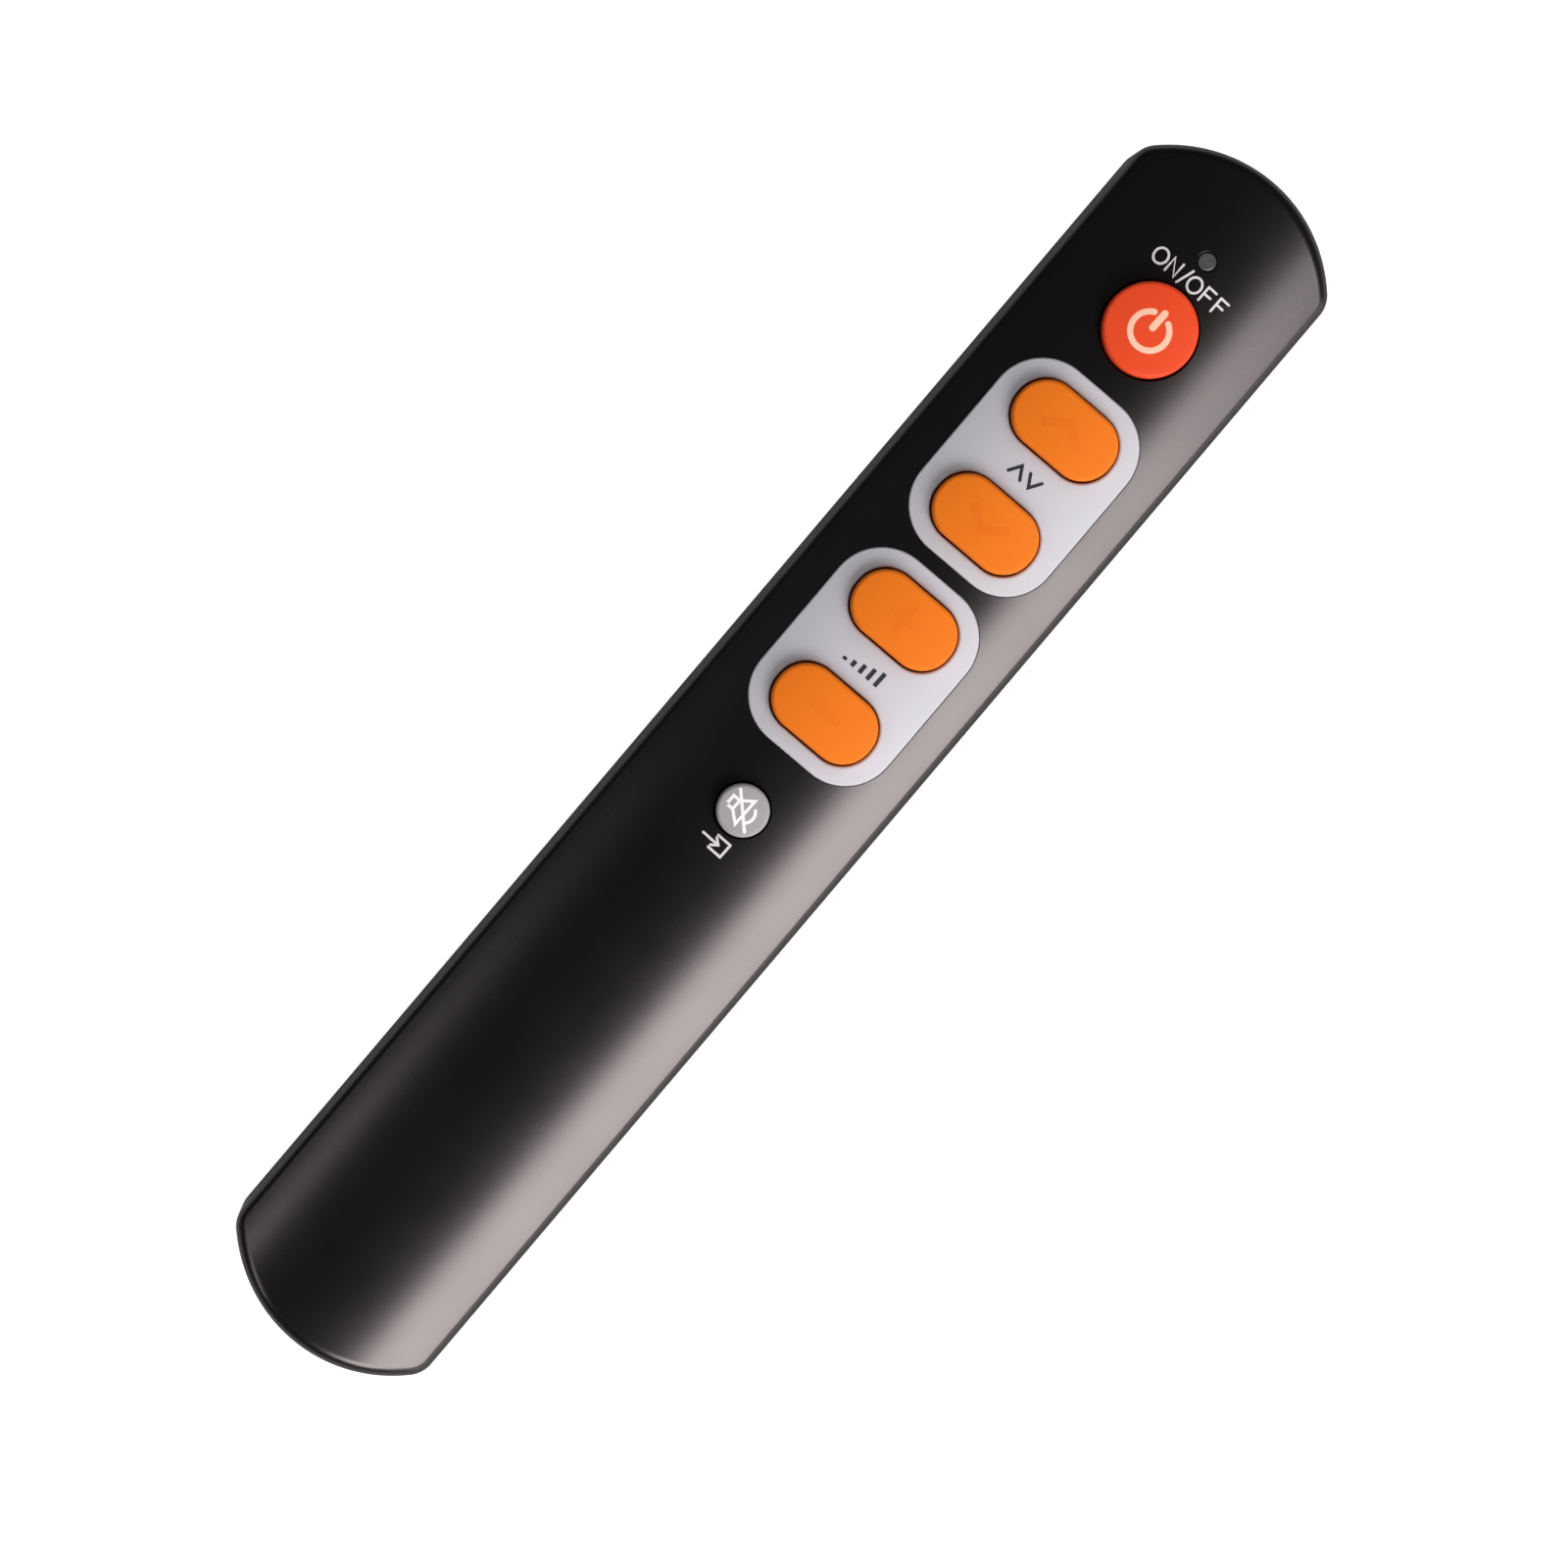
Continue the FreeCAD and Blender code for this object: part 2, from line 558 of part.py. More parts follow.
def prism(name, sketch, height):
    """Sketch extruded upwards by an expression."""
    thing = document.addObject("Part::Extrusion", name)
    thing.Base = sketch
    thing.DirMode = "Normal"
    thing.Solid = True
    thing.setExpression("LengthFwd", height)
    return thing


def outline_prism(name, inset, bottom, top):
    """Case outline from bottom to top."""
    return prism(name, outline(name + "_outline", inset, bottom), f"{top} - ({bottom})")


def new_body(name):
    """Empty body that becomes one piece."""
    return document.addObject("PartDesign::Body", name)


def pad(body, name, sketch, length):
    """Pad of a sketch, bound to an expression."""
    feature = body.newObject("PartDesign::Pad", name)
    feature.Profile = sketch
    feature.setExpression("Length", length)
    body.Tip = feature
    return feature


def pocket(body, name, sketch):
    """Pocket right through, upwards from the sketch; it has to take something away."""
    document.recompute()
    before = body.Shape.Volume
    feature = body.newObject("PartDesign::Pocket", name)
    feature.Profile = sketch
    feature.Type = "ThroughAll"
    feature.Reversed = True
    body.Tip = feature
    document.recompute()
    if not body.Shape.Volume < before - 1e-6:
        raise ValueError(f"{name} cuts nothing")
    return feature


def revolve(body, name, points):
    """Turn a closed (radius, along) profile about the body's Y axis."""
    sketch = empty_sketch(body, name + "_profile", ("0", "0", "0"))
    corners = [Vector(read_sum(radius), read_sum(along), 0) for radius, along in points]
    for n, corner in enumerate(corners):
        sketch.addGeometry(Part.LineSegment(corner, corners[(n + 1) % len(corners)]), False)
    for n, (radius, along) in enumerate(points):
        sketch.addConstraint(Sketcher.Constraint("Coincident", n, 2, (n + 1) % len(points), 1))
        if radius == "0":
            sketch.addConstraint(Sketcher.Constraint("PointOnObject", n, 1, -2))
        else:
            dimension(sketch, f"radius_{n}", radius, "DistanceX", -1, 1, n, 1, read_sum(radius))
        if along == "0":
            sketch.addConstraint(Sketcher.Constraint("PointOnObject", n, 1, -1))
        else:
            dimension(sketch, f"along_{n}", along, "DistanceY", -1, 1, n, 1, read_sum(along))
    feature = body.newObject("PartDesign::Revolution", name)
    feature.Profile = sketch
    feature.ReferenceAxis = (sketch, ["V_Axis"])
    feature.Angle = 360.0
    body.Tip = feature
    return feature


def lies_on_crown(radius, depth="Levels.crown_axis"):
    """Chooser of the edges that bound a crowned top of the given radius."""
    reach = read(radius)
    axis = read(depth)

    def chosen(edge):
        distances = [math.hypot(p.x, p.z - axis) for p in edge.discretize(5)]
        return max(abs(distance - reach) for distance in distances) < 1e-4

    return chosen


def lies_at(height):
    """Chooser of the edges that lie level at a height."""
    return lambda edge: all(abs(p.z - height) < 1e-6 for p in edge.discretize(3))


def is_circle(edge):
    """Chooser of the circular edges."""
    return edge.Curve.TypeId == "Part::GeomCircle"


pieces = {}


def piece(name, thing):
    """Name a finished piece; its file has the same name."""
    thing.Label = name
    pieces[name] = thing
    return thing


def key_prisms(suffix, grow, bottom, top):
    """One prism for each key's plan shape, moved out by grow, an expression of one name."""
    things = []
    height = f"{top} - ({bottom})"
    for name, y, diameter, _ in ROUND_KEYS:
        radius = f"{diameter} / 2" if grow == "0" else f"{diameter} / 2 + {grow}"
        things.append(rod(f"{name}_{suffix}", radius, height, ("0", y, bottom)))
    for name, y in OVAL_KEYS:
        sketch = rounded_rectangle(
            None, f"{name}_{suffix}_plan", "Sizes.oval_width", "Sizes.oval_length",
            "Sizes.oval_corner", ("0", y, bottom), grow,
        )
        things.append(prism(f"{name}_{suffix}", sketch, height))
    return things


def build_front_shell():
    """Crowned front with a guide collar for each key, seats for the panels, bosses and hold-down ribs."""
    top = "Sizes.body_height"
    low = "Sizes.seam_height - Sizes.lip_height"
    over = "Sizes.body_height + Sizes.key_proud"
    form = common(
        "front_form",
        outline_prism("front_block", "Levels.plain", "Sizes.seam_height", top),
        crown("front_crown", "Sizes.crown_radius"),
    )
    rounded = round_edges("front_rounded", form, "Sizes.rim_radius", lies_on_crown("Sizes.crown_radius"))
    hollow = common(
        "front_hollow",
        outline_prism("front_inside", "Sizes.side_wall", low, top),
        crown("front_inner_crown", "Levels.inner_crown"),
    )
    rebate_top = "Sizes.seam_height + Sizes.lip_height + Sizes.fit_gap"
    rebate = outline_prism("front_rebate", "Levels.rebate_inset", low, rebate_top)
    groove = cut(
        "front_groove",
        outline_prism("groove_outside", "Levels.plain", low, "Sizes.seam_height + Sizes.seam_groove"),
        outline_prism("groove_inside", "Sizes.seam_groove", low, top),
    )
    skin = cut("front_skin", rounded, hollow, rebate, groove)

    inner = key_prisms("collar", "Levels.collar_grow", "Levels.collar_bottom", top)
    boss_height = f"{top} - Levels.tail_bottom"
    for n, y in enumerate(SCREWS):
        spot = ("0", y, "Levels.tail_bottom")
        inner.append(rod(f"front_boss_{n}", "Sizes.front_boss_radius", boss_height, spot))
    rib_bottom = "Levels.mat_top + Sizes.touch_gap"
    rib_size = ("Sizes.rib_depth + Sizes.side_wall / 2", "Sizes.rib_width", f"{top} - ({rib_bottom})")
    for n, y in enumerate(HOLD_DOWNS):
        for side, sign in (("right", ""), ("left", "-")):
            x = f"{sign}(Sizes.body_width / 2 - Sizes.side_wall * 3 / 4 - Sizes.rib_depth / 2)"
            inner.append(middle_box(f"rib_{side}_{n}", *rib_size, (x, y, rib_bottom)))
    joined = document.addObject("Part::MultiFuse", "front_inner_parts")
    joined.Shapes = inner
    inner_parts = common("front_inner_trimmed", joined, crown("front_middle_crown", "Levels.middle_crown"))
    body = fuse("front_joined", skin, inner_parts)

    takes = key_prisms("opening", "Sizes.key_gap", "Levels.flange_top", over)
    for name, y, _ in PANELS:
        takes.append(panel_seat(name, y))
    lens_hole = "Sizes.lens_radius + Sizes.fit_gap"
    lens_spot = ("0", "Levels.indicator_y", "Levels.collar_bottom")
    takes.append(rod("lens_hole", lens_hole, f"{over} - Levels.collar_bottom", lens_spot))
    for n, y in enumerate(SCREWS):
        spot = ("0", y, "Levels.board_top")
        takes.append(rod(f"pilot_{n}", "Sizes.screw_radius + Sizes.touch_gap", "Sizes.pilot_depth", spot))
    takes.append(window_opening("front_window_opening"))
    piece("front_shell", cut("front_cut", body, *takes))


def panel_seat(name, y):
    """Shallow seat for a panel, with a floor that follows the crown."""
    bottom = "Sizes.body_height - Sizes.front_wall * 2"
    sketch = rounded_rectangle(
        None, f"{name}_seat_plan", "Sizes.panel_width", "Sizes.panel_length",
        "Sizes.panel_corner", ("0", y, bottom), "Sizes.fit_gap",
    )
    block = prism(f"{name}_seat_block", sketch, "Sizes.front_wall * 2 + Sizes.key_proud")
    return cut(f"{name}_seat", block, crown(f"{name}_seat_floor", "Levels.pocket_crown"))


def window_opening(name):
    """Opening in the infrared end's wall."""
    return middle_box(
        name, "Sizes.window_width", "Sizes.end_radius / 2", "Sizes.window_top - Sizes.window_bottom",
        ("0", "Sizes.body_length / 2", "Sizes.window_bottom"),
    )


def build_panels():
    """Two thin silver plates that follow the crown, each with openings for its two keys."""
    bottom = "Sizes.body_height - Sizes.front_wall * 2"
    for name, y, keys in PANELS:
        plan = rounded_rectangle(
            None, f"{name}_panel_plan", "Sizes.panel_width", "Sizes.panel_length",
            "Sizes.panel_corner", ("0", y, bottom),
        )
        block = common(
            f"{name}_panel_block",
            prism(f"{name}_panel_prism", plan, "Sizes.front_wall * 2 + Sizes.key_proud"),
            crown(f"{name}_panel_top", "Levels.panel_crown"),
        )
        plate = cut(
            f"{name}_panel_plate", block,
            crown(f"{name}_panel_back", "Levels.pocket_crown + Sizes.touch_gap"),
        )
        edge = lies_on_crown("Levels.panel_crown")
        rounded = round_edges(f"{name}_panel_rounded", plate, "Sizes.panel_edge", edge)
        holes = []
        for key, key_y in keys:
            sketch = rounded_rectangle(
                None, f"{key}_panel_hole_plan", "Sizes.oval_width", "Sizes.oval_length",
                "Sizes.oval_corner", ("0", key_y, bottom), "Sizes.key_gap",
            )
            holes.append(prism(f"{key}_panel_hole", sketch, "Sizes.front_wall * 2 + Sizes.key_proud"))
        piece(f"{name}_panel", cut(f"{name}_panel_cut", rounded, *holes))


def build_rear_form():
    """Outside of the rear shell and the door, still solid."""
    block = outline_prism("rear_block", "Levels.plain", "Levels.plain", "Sizes.seam_height")
    return round_edges("rear_form", block, "Sizes.back_radius", lies_at(0.0))


def build_rear_shell(form):
    """Rear half with the battery bay, the door's rails, bosses and board posts."""
    lip_bottom = "Sizes.seam_height - Sizes.lip_height"
    lip_top = "Sizes.seam_height + Sizes.lip_height"
    middle = "Sizes.floor_wall / 2"
    hollow = outline_prism("rear_inside", "Sizes.side_wall", "Sizes.floor_wall", "Sizes.body_height")
    hollow = round_edges("rear_hollow", hollow, "Sizes.inside_radius", lies_at(read("Sizes.floor_wall")))
    lip = outline_prism("rear_lip", "Levels.lip_inset", lip_bottom, lip_top)
    skin = cut("rear_skin", fuse("rear_solid", form, lip), hollow)

    ledge = common(
        "bay_ledge",
        box(
            "ledge_block", "Sizes.body_width",
            "Sizes.body_length / 2 + Levels.bay_start + Sizes.rail_length", f"Sizes.rail_top - {middle}",
            ("-Sizes.body_width / 2", "-Sizes.body_length / 2", middle),
        ),
        outline_prism("ledge_form", "Levels.rebate_inset", "Levels.plain", "Sizes.seam_height"),
    )
    bay_middle = "Levels.bay_end + Levels.bay_length / 2"
    tray_block = middle_box(
        "bay_tray_block", "(Levels.bay_half + Sizes.bay_wall) * 2", "Levels.bay_length + Sizes.bay_wall * 2",
        f"Levels.bay_roof + Sizes.bay_wall - {middle}", ("0", bay_middle, middle),
    )
    tray_room = common(
        "bay_tray_room",
        outline_prism("bay_tray_outline", "Levels.tray_inset", "Levels.plain", "Sizes.body_height"),
        crown("bay_tray_crown", "Levels.room_crown"),
    )
    inner = [ledge, common("bay_tray", tray_block, tray_room)]
    for n, y in enumerate(SCREWS):
        spot = ("0", y, middle)
        inner.append(rod(f"rear_boss_{n}", "Sizes.rear_boss_radius", f"Sizes.board_height - {middle}", spot))
    for n, y in enumerate(BOARD_POSTS):
        for side, x in (("right", "Levels.post_x"), ("left", "-Levels.post_x")):
            spot = (x, y, middle)
            inner.append(rod(f"post_{side}_{n}", "Sizes.post_radius", f"Sizes.board_height - {middle}", spot))
    body = fuse("rear_joined", skin, *inner)

    channel_length = "Sizes.body_length / 2 + Levels.door_start + Sizes.fit_gap"
    channel_start = "-Sizes.body_length / 2"
    bay_block = middle_box(
        "bay_block", "Levels.bay_half * 2", "Levels.bay_length", "Levels.bay_roof", ("0", bay_middle, "0"),
    )
    takes = [
        common("bay_inside", bay_block, crown("bay_inside_crown", "Levels.bay_crown")),
        box(
            "door_channel", "Levels.bay_half * 2", channel_length, "Sizes.door_thick",
            ("-Levels.bay_half", channel_start, "0"),
        ),
        box(
            "tongue_groove", "(Levels.tongue_half + Sizes.fit_gap) * 2", channel_length,
            "Sizes.tongue_thick + Sizes.fit_gap * 2",
            ("-(Levels.tongue_half + Sizes.fit_gap)", channel_start, "Levels.tongue_bottom - Sizes.fit_gap"),
        ),
    ]
    for n, y in enumerate(SCREWS):
        takes.append(rod(f"screw_hole_{n}", "Levels.screw_hole", "Sizes.board_height", ("0", y, "0")))
        recess_radius = "Sizes.head_radius + Sizes.head_gap"
        takes.append(rod(f"head_recess_{n}", recess_radius, "Sizes.head_depth", ("0", y, "0")))
    for side, x in (("left", "-Levels.cell_x"), ("right", "Levels.cell_x")):
        slot_size = (
            "Sizes.tail_width + Sizes.fit_gap * 2", "Sizes.bay_wall * 4",
            "Sizes.plate_thick + Sizes.fit_gap * 2",
        )
        spot = (x, "Levels.bay_start", "Levels.tail_bottom - Sizes.fit_gap")
        takes.append(middle_box(f"{side}_tail_slot", *slot_size, spot))
    takes.append(window_opening("rear_window_opening"))
    piece("rear_shell", cut("rear_cut", body, *takes))


def build_battery_door(form):
    """Flat door that slides off the end, held by a tongue along each side."""
    length = "Sizes.body_length / 2 + Levels.door_start"
    start = "-Sizes.body_length / 2"
    plate = box(
        "door_plate", "Levels.door_half * 2", length, "Sizes.door_thick",
        ("-Levels.door_half", start, "0"),
    )
    tongues = box(
        "door_tongues", "Levels.tongue_half * 2", length, "Sizes.tongue_thick",
        ("-Levels.tongue_half", start, "Levels.tongue_bottom"),
    )
    door = common("door_form", fuse("door_blank", plate, tongues), form)
    grip_size = ("Sizes.grip_length", "Sizes.grip_width", "Sizes.grip_depth")
    grips = []
    for n in range(int(read("Sizes.grip_count"))):
        y = f"Levels.door_start - Sizes.grip_inset - Sizes.grip_pitch * {n}"
        grips.append(middle_box(f"grip_{n}", *grip_size, ("0", y, "0")))
    piece("battery_door", cut("door_cut", door, *grips))


def build_key(name, y, head, flange, pill_radius, foot_radius):
    """One rubber key: head, retaining flange and boss, with its pill and the dome that springs it."""
    trimmed = common(f"{name}_head_form", head, crown(f"{name}_top", "Levels.key_crown"))
    rounded = round_edges(f"{name}_head", trimmed, "Sizes.key_edge", lies_on_crown("Levels.key_crown"))
    boss_height = "Levels.flange_top - Levels.boss_bottom"
    boss = rod(f"{name}_boss", f"{pill_radius} + Sizes.boss_rim", boss_height, ("0", y, "Levels.boss_bottom"))
    piece(f"{name}_key", fuse(f"{name}_joined", rounded, flange, boss))

    pill = new_body(f"{name}_pill_body")
    sketch = discs(pill, f"{name}_pill_plan", [("0", y, pill_radius)], "Levels.pill_bottom")
    pad(pill, f"{name}_pill_pad", sketch, "Sizes.pill_thick")
    piece(f"{name}_pill", pill)

    walls = []
    for side, grow in (("outer", " + Sizes.dome_wall"), ("inner", "")):
        cone = document.addObject("Part::Cone", f"{name}_dome_{side}")
        cone.setExpression("Radius1", foot_radius + grow)
        cone.setExpression("Radius2", f"{foot_radius}{grow} - Sizes.dome_lean")
        cone.setExpression("Height", "Levels.flange_bottom - Levels.mat_top")
        walls.append(place(cone, "0", y, "Levels.mat_top"))
    piece(f"{name}_dome", cut(f"{name}_dome_cut", *walls))


def build_keys():
    """Six keys through the front shell."""
    heads = key_prisms("head_block", "0", "Levels.flange_bottom", "Sizes.body_height + Sizes.key_proud")
    flanges = key_prisms("flange", "Levels.flange_grow", "Levels.flange_bottom", "Levels.flange_top")
    shapes = list(zip(heads, flanges))
    for (name, y, _, pill_radius), (head, flange) in zip(ROUND_KEYS, shapes):
        foot = "Levels.small_foot_radius" if name == "mute" else "Levels.foot_radius"
        build_key(name, y, head, flange, pill_radius, foot)
    for (name, y), (head, flange) in zip(OVAL_KEYS, shapes[len(ROUND_KEYS):]):
        build_key(name, y, head, flange, "Sizes.pill_radius", "Levels.foot_radius")


def key_places():
    """Each key's centre along Y, its pill's radius and its dome's foot radius."""
    small = ("Sizes.small_pill_radius", "Levels.small_foot_radius")
    large = ("Sizes.pill_radius", "Levels.foot_radius")
    found = [(y, *(small if name == "mute" else large)) for name, y, _, _ in ROUND_KEYS]
    return found + [(y, *large) for _, y in OVAL_KEYS]


def build_mat():
    """Rubber mat on the board, open under each key."""
    body = new_body("mat_body")
    plan = rounded_rectangle(
        body, "mat_plan", "Levels.mat_width", "Levels.mat_length",
        "Sizes.mat_corner", ("0", "(Levels.mat_end + Levels.mat_start) / 2", "Levels.board_top"),
    )
    pad(body, "mat_pad", plan, "Sizes.mat_thick")
    holes = [("0", y, foot) for y, _, foot in key_places()]
    holes += [("0", y, "Levels.boss_hole") for y in SCREWS]
    pocket(body, "mat_holes", discs(body, "mat_hole_plan", holes, "Levels.board_top"))
    piece("keypad_mat", body)


def build_board():
    """Circuit board with a tab under the indicator, and the printed contacts on it."""
    body = new_body("board_body")
    plan = rectangle(
        body, "board_plan", "Levels.board_width", "Levels.board_end - Levels.board_start",
        ("0", "(Levels.board_end + Levels.board_start) / 2", "Sizes.board_height"),
    )
    pad(body, "board_pad", plan, "Sizes.board_thick")
    tab = rectangle(
        body, "tab_plan", "Sizes.tab_width", "Sizes.tab_length + Sizes.tab_length",
        ("0", "Levels.board_end", "Sizes.board_height"),
    )
    pad(body, "tab_pad", tab, "Sizes.board_thick")
    holes = [("0", y, "Levels.screw_hole") for y in SCREWS]
    pocket(body, "board_holes", discs(body, "board_hole_plan", holes, "Sizes.board_height"))
    piece("circuit_board", body)

    contacts = []
    for n, (y, pill_radius, _) in enumerate(key_places()):
        disc = rod(f"contact_disc_{n}", pill_radius, "Sizes.pad_thick", ("0", y, "Levels.board_top"))
        split = middle_box(
            f"contact_split_{n}", "Sizes.pad_split", f"{pill_radius} * 2", "Sizes.pad_thick",
            ("0", y, "Levels.board_top"),
        )
        contacts.append(cut(f"contact_{n}", disc, split))
    piece("key_contacts", group("key_contact_group", contacts))


def build_window():
    """Dark infrared window in the end wall, with a flange behind it."""
    bottom = "Sizes.window_bottom + Sizes.fit_gap"
    top = "Sizes.window_top - Sizes.fit_gap"
    flange_bottom = "Sizes.window_bottom - Sizes.window_flange"
    flange_top = "Sizes.window_top + Sizes.window_flange"
    plug = common(
        "window_plug", outline_prism("window_outside", "Levels.plain", bottom, top),
        middle_box(
            "window_plug_block", "Sizes.window_width - Sizes.fit_gap * 2", "Sizes.end_radius",
            f"{top} - ({bottom})", ("0", "Sizes.body_length / 2", bottom),
        ),
    )
    strip = common(
        "window_flange_strip",
        outline_prism("window_flange_outside", "Levels.window_inset", flange_bottom, flange_top),
        middle_box(
            "window_flange_block", "Sizes.window_width + Sizes.window_flange * 2", "Sizes.end_radius",
            f"{flange_top} - ({flange_bottom})", ("0", "Sizes.body_length / 2", flange_bottom),
        ),
    )
    flange = common("window_flange_form", strip, crown("window_flange_crown", "Levels.room_crown"))
    inside = outline_prism("window_inside", "Levels.window_back", flange_bottom, flange_top)
    piece("infrared_window", cut("window_cut", fuse("window_joined", plug, flange), inside))


def round_tip(body, name, radius, along):
    """Round the edges of a turned body that lie at a place along its axis."""
    document.recompute()
    base = body.Tip
    at = read_sum(along)
    edges = [f"Edge{n}" for n, edge in enumerate(base.Shape.Edges, start=1)
             if all(abs(p.y - at) < 1e-6 for p in edge.discretize(3))]
    feature = body.newObject("PartDesign::Fillet", name)
    feature.Base = (base, edges)
    feature.setExpression("Radius", radius)
    body.Tip = feature


def build_emitters():
    """Infrared LED that sends and receiver that learns, lying on the board's end."""
    for name, x in (("infrared_led", "-Sizes.led_spread"), ("infrared_receiver", "Sizes.led_spread")):
        body = new_body(name + "_body")
        profile = (
            ("0", "0"),
            ("Sizes.led_flange_radius", "0"),
            ("Sizes.led_flange_radius", "Sizes.led_flange_thick"),
            ("Sizes.led_radius", "Sizes.led_flange_thick"),
            ("Sizes.led_radius", "Sizes.led_length"),
            ("0", "Sizes.led_length"),
        )
        revolve(body, name + "_turned", profile)
        round_tip(body, name + "_tip", "Sizes.led_radius - Sizes.fit_gap", "Sizes.led_length")
        place(body, x, "Levels.led_base", "Levels.led_z")
        leads = []
        for n, sign in enumerate("+-"):
            lead_x = f"{x} {sign} Sizes.lead_pitch / 2"
            spot = (lead_x, "Levels.led_base - Sizes.lead_reach / 2", "Levels.tail_bottom")
            length = "Sizes.lead_reach + Sizes.led_flange_thick"
            leads.append(middle_box(f"{name}_lead_{n}", "Sizes.lead_size", length, "Sizes.lead_size", spot))
        piece(name, fuse(name + "_joined", body, *leads))


def build_indicator():
    """Indicator chip on the board's tab and the lens above it in the front shell."""
    piece(
        "indicator_chip",
        middle_box(
            "indicator_block", "Sizes.chip_led_width", "Sizes.chip_led_length", "Sizes.chip_led_thick",
            ("0", "Levels.indicator_y", "Levels.board_top"),
        ),
    )
    bottom = "Levels.board_top + Sizes.chip_led_thick + Sizes.lens_gap"
    top = "Sizes.body_height - Sizes.lens_recess"
    pin = rod("lens_pin", "Sizes.lens_radius", f"{top} - ({bottom})", ("0", "Levels.indicator_y", bottom))
    rounded = round_edges("lens_rounded", pin, "Sizes.lens_edge", lies_at(read_sum(top)))
    flange_z = "Sizes.body_height - Sizes.front_wall - Sizes.fit_gap * 2 - Sizes.lens_flange_thick"
    flange_spot = ("0", "Levels.indicator_y", flange_z)
    flange = rod("lens_flange", "Sizes.lens_flange_radius", "Sizes.lens_flange_thick", flange_spot)
    piece("indicator_lens", fuse("lens_joined", rounded, flange))


def build_chip(name, length, width, thick, y, pin_count):
    """Moulded chip under the board with a row of pins along each side."""
    body = new_body(name + "_body")
    bottom = f"Sizes.board_height - Sizes.chip_lift - {thick}"
    plan = rounded_rectangle(body, name + "_plan", width, length, "Sizes.chip_corner", ("0", y, bottom))
    pad(body, name + "_pad", plan, thick)
    piece(name + "_chip", body)
    pin_size = ("Sizes.pin_reach", "Sizes.pin_width", "Sizes.pin_thick")
    pins = []
    for n in range(pin_count):
        along = f"{y} + Sizes.pin_pitch * {n - (pin_count - 1) / 2}"
        for side, sign in (("right", "+"), ("left", "-")):
            x = f"{sign}({width} + Sizes.pin_reach) / 2"
            spot = (x, along, "Sizes.board_height - Sizes.pin_thick")
            pins.append(middle_box(f"{name}_{side}_pin_{n}", *pin_size, spot))
    piece(name + "_pins", group(name + "_pin_group", pins))


def build_components():
    """What hangs under the board."""
    controller = ("Sizes.chip_length", "Sizes.chip_width", "Sizes.chip_thick", "Levels.chip_y")
    memory = ("Sizes.memory_length", "Sizes.memory_width", "Sizes.memory_thick", "Levels.memory_y")
    build_chip("controller", *controller, CONTROLLER_PINS)
    build_chip("memory", *memory, MEMORY_PINS)

    crystal = new_body("crystal_body")
    bottom = "Sizes.board_height - Sizes.chip_lift - Sizes.crystal_thick"
    plan = rounded_rectangle(
        crystal, "crystal_plan", "Sizes.crystal_width", "Sizes.crystal_length",
        "Sizes.crystal_corner", ("Sizes.part_x", "Levels.part_y", bottom),
    )
    pad(crystal, "crystal_pad", plan, "Sizes.crystal_thick")
    piece("crystal", crystal)

    can = rod(
        "capacitor_can", "Sizes.capacitor_radius", "Sizes.capacitor_length",
        ("-Sizes.part_x", "Levels.part_y - Sizes.capacitor_length / 2",
         "Sizes.board_height - Sizes.chip_lift - Sizes.capacitor_radius"), "Y",
    )
    piece("capacitor", round_edges("capacitor_rounded", can, "Sizes.capacitor_edge", is_circle))

    transistor_z = "Sizes.board_height - Sizes.chip_lift - Sizes.transistor_length"
    barrel = rod(
        "transistor_barrel", "Sizes.transistor_radius", "Sizes.transistor_length",
        ("Sizes.transistor_x", "Levels.transistor_y", transistor_z),
    )
    side_x = "Sizes.transistor_x - Sizes.transistor_radius"
    flat = box(
        "transistor_side", "Sizes.transistor_radius * 2", "Sizes.transistor_radius",
        "Sizes.transistor_length",
        (side_x, "Levels.transistor_y + Sizes.transistor_flat", transistor_z),
    )
    piece("transistor", cut("transistor_cut", barrel, flat))

    places = [("-Sizes.transistor_x", "Levels.transistor_y"), ("Sizes.resistor_x", "Levels.memory_y")]
    for step in (-1, 0, 1):
        y = f"Levels.chip_y + Sizes.resistor_pitch * {step}"
        places += [("Sizes.resistor_x", y), ("-Sizes.resistor_x", y)]
    resistor_size = ("Sizes.resistor_width", "Sizes.resistor_length", "Sizes.resistor_thick")
    resistors = []
    for n, (x, y) in enumerate(places):
        spot = (x, y, "Sizes.board_height - Sizes.resistor_thick")
        resistors.append(middle_box(f"resistor_{n}", *resistor_size, spot))
    piece("resistors", group("resistor_group", resistors))


def build_cells():
    """Two AAA cells side by side, head to tail."""
    can_end = "Sizes.cell_length - Sizes.nub_length"
    profile = (
        ("0", "0"),
        ("Levels.cell_radius", "0"),
        ("Levels.cell_radius", can_end),
        ("Levels.nub_radius", can_end),
        ("Levels.nub_radius", "Sizes.cell_length"),
        ("0", "Sizes.cell_length"),
    )
    left_y = "Levels.bay_end + Sizes.plate_thick + Sizes.nub_gap + Sizes.cell_length"
    right_y = "Levels.bay_end + Sizes.plate_thick + Sizes.spring_space"
    cells = (("left_cell", "-Levels.cell_x", left_y, 180), ("right_cell", "Levels.cell_x", right_y, 0))
    for name, x, y, turn in cells:
        body = new_body(name + "_body")
        revolve(body, name + "_turned", profile)
        round_tip(body, name + "_back_edge", "Sizes.cell_edge", "0")
        body.Placement.Rotation = FreeCAD.Rotation(Vector(0, 0, 1), turn)
        place(body, x, y, "Levels.cell_z")
        piece(name, body)


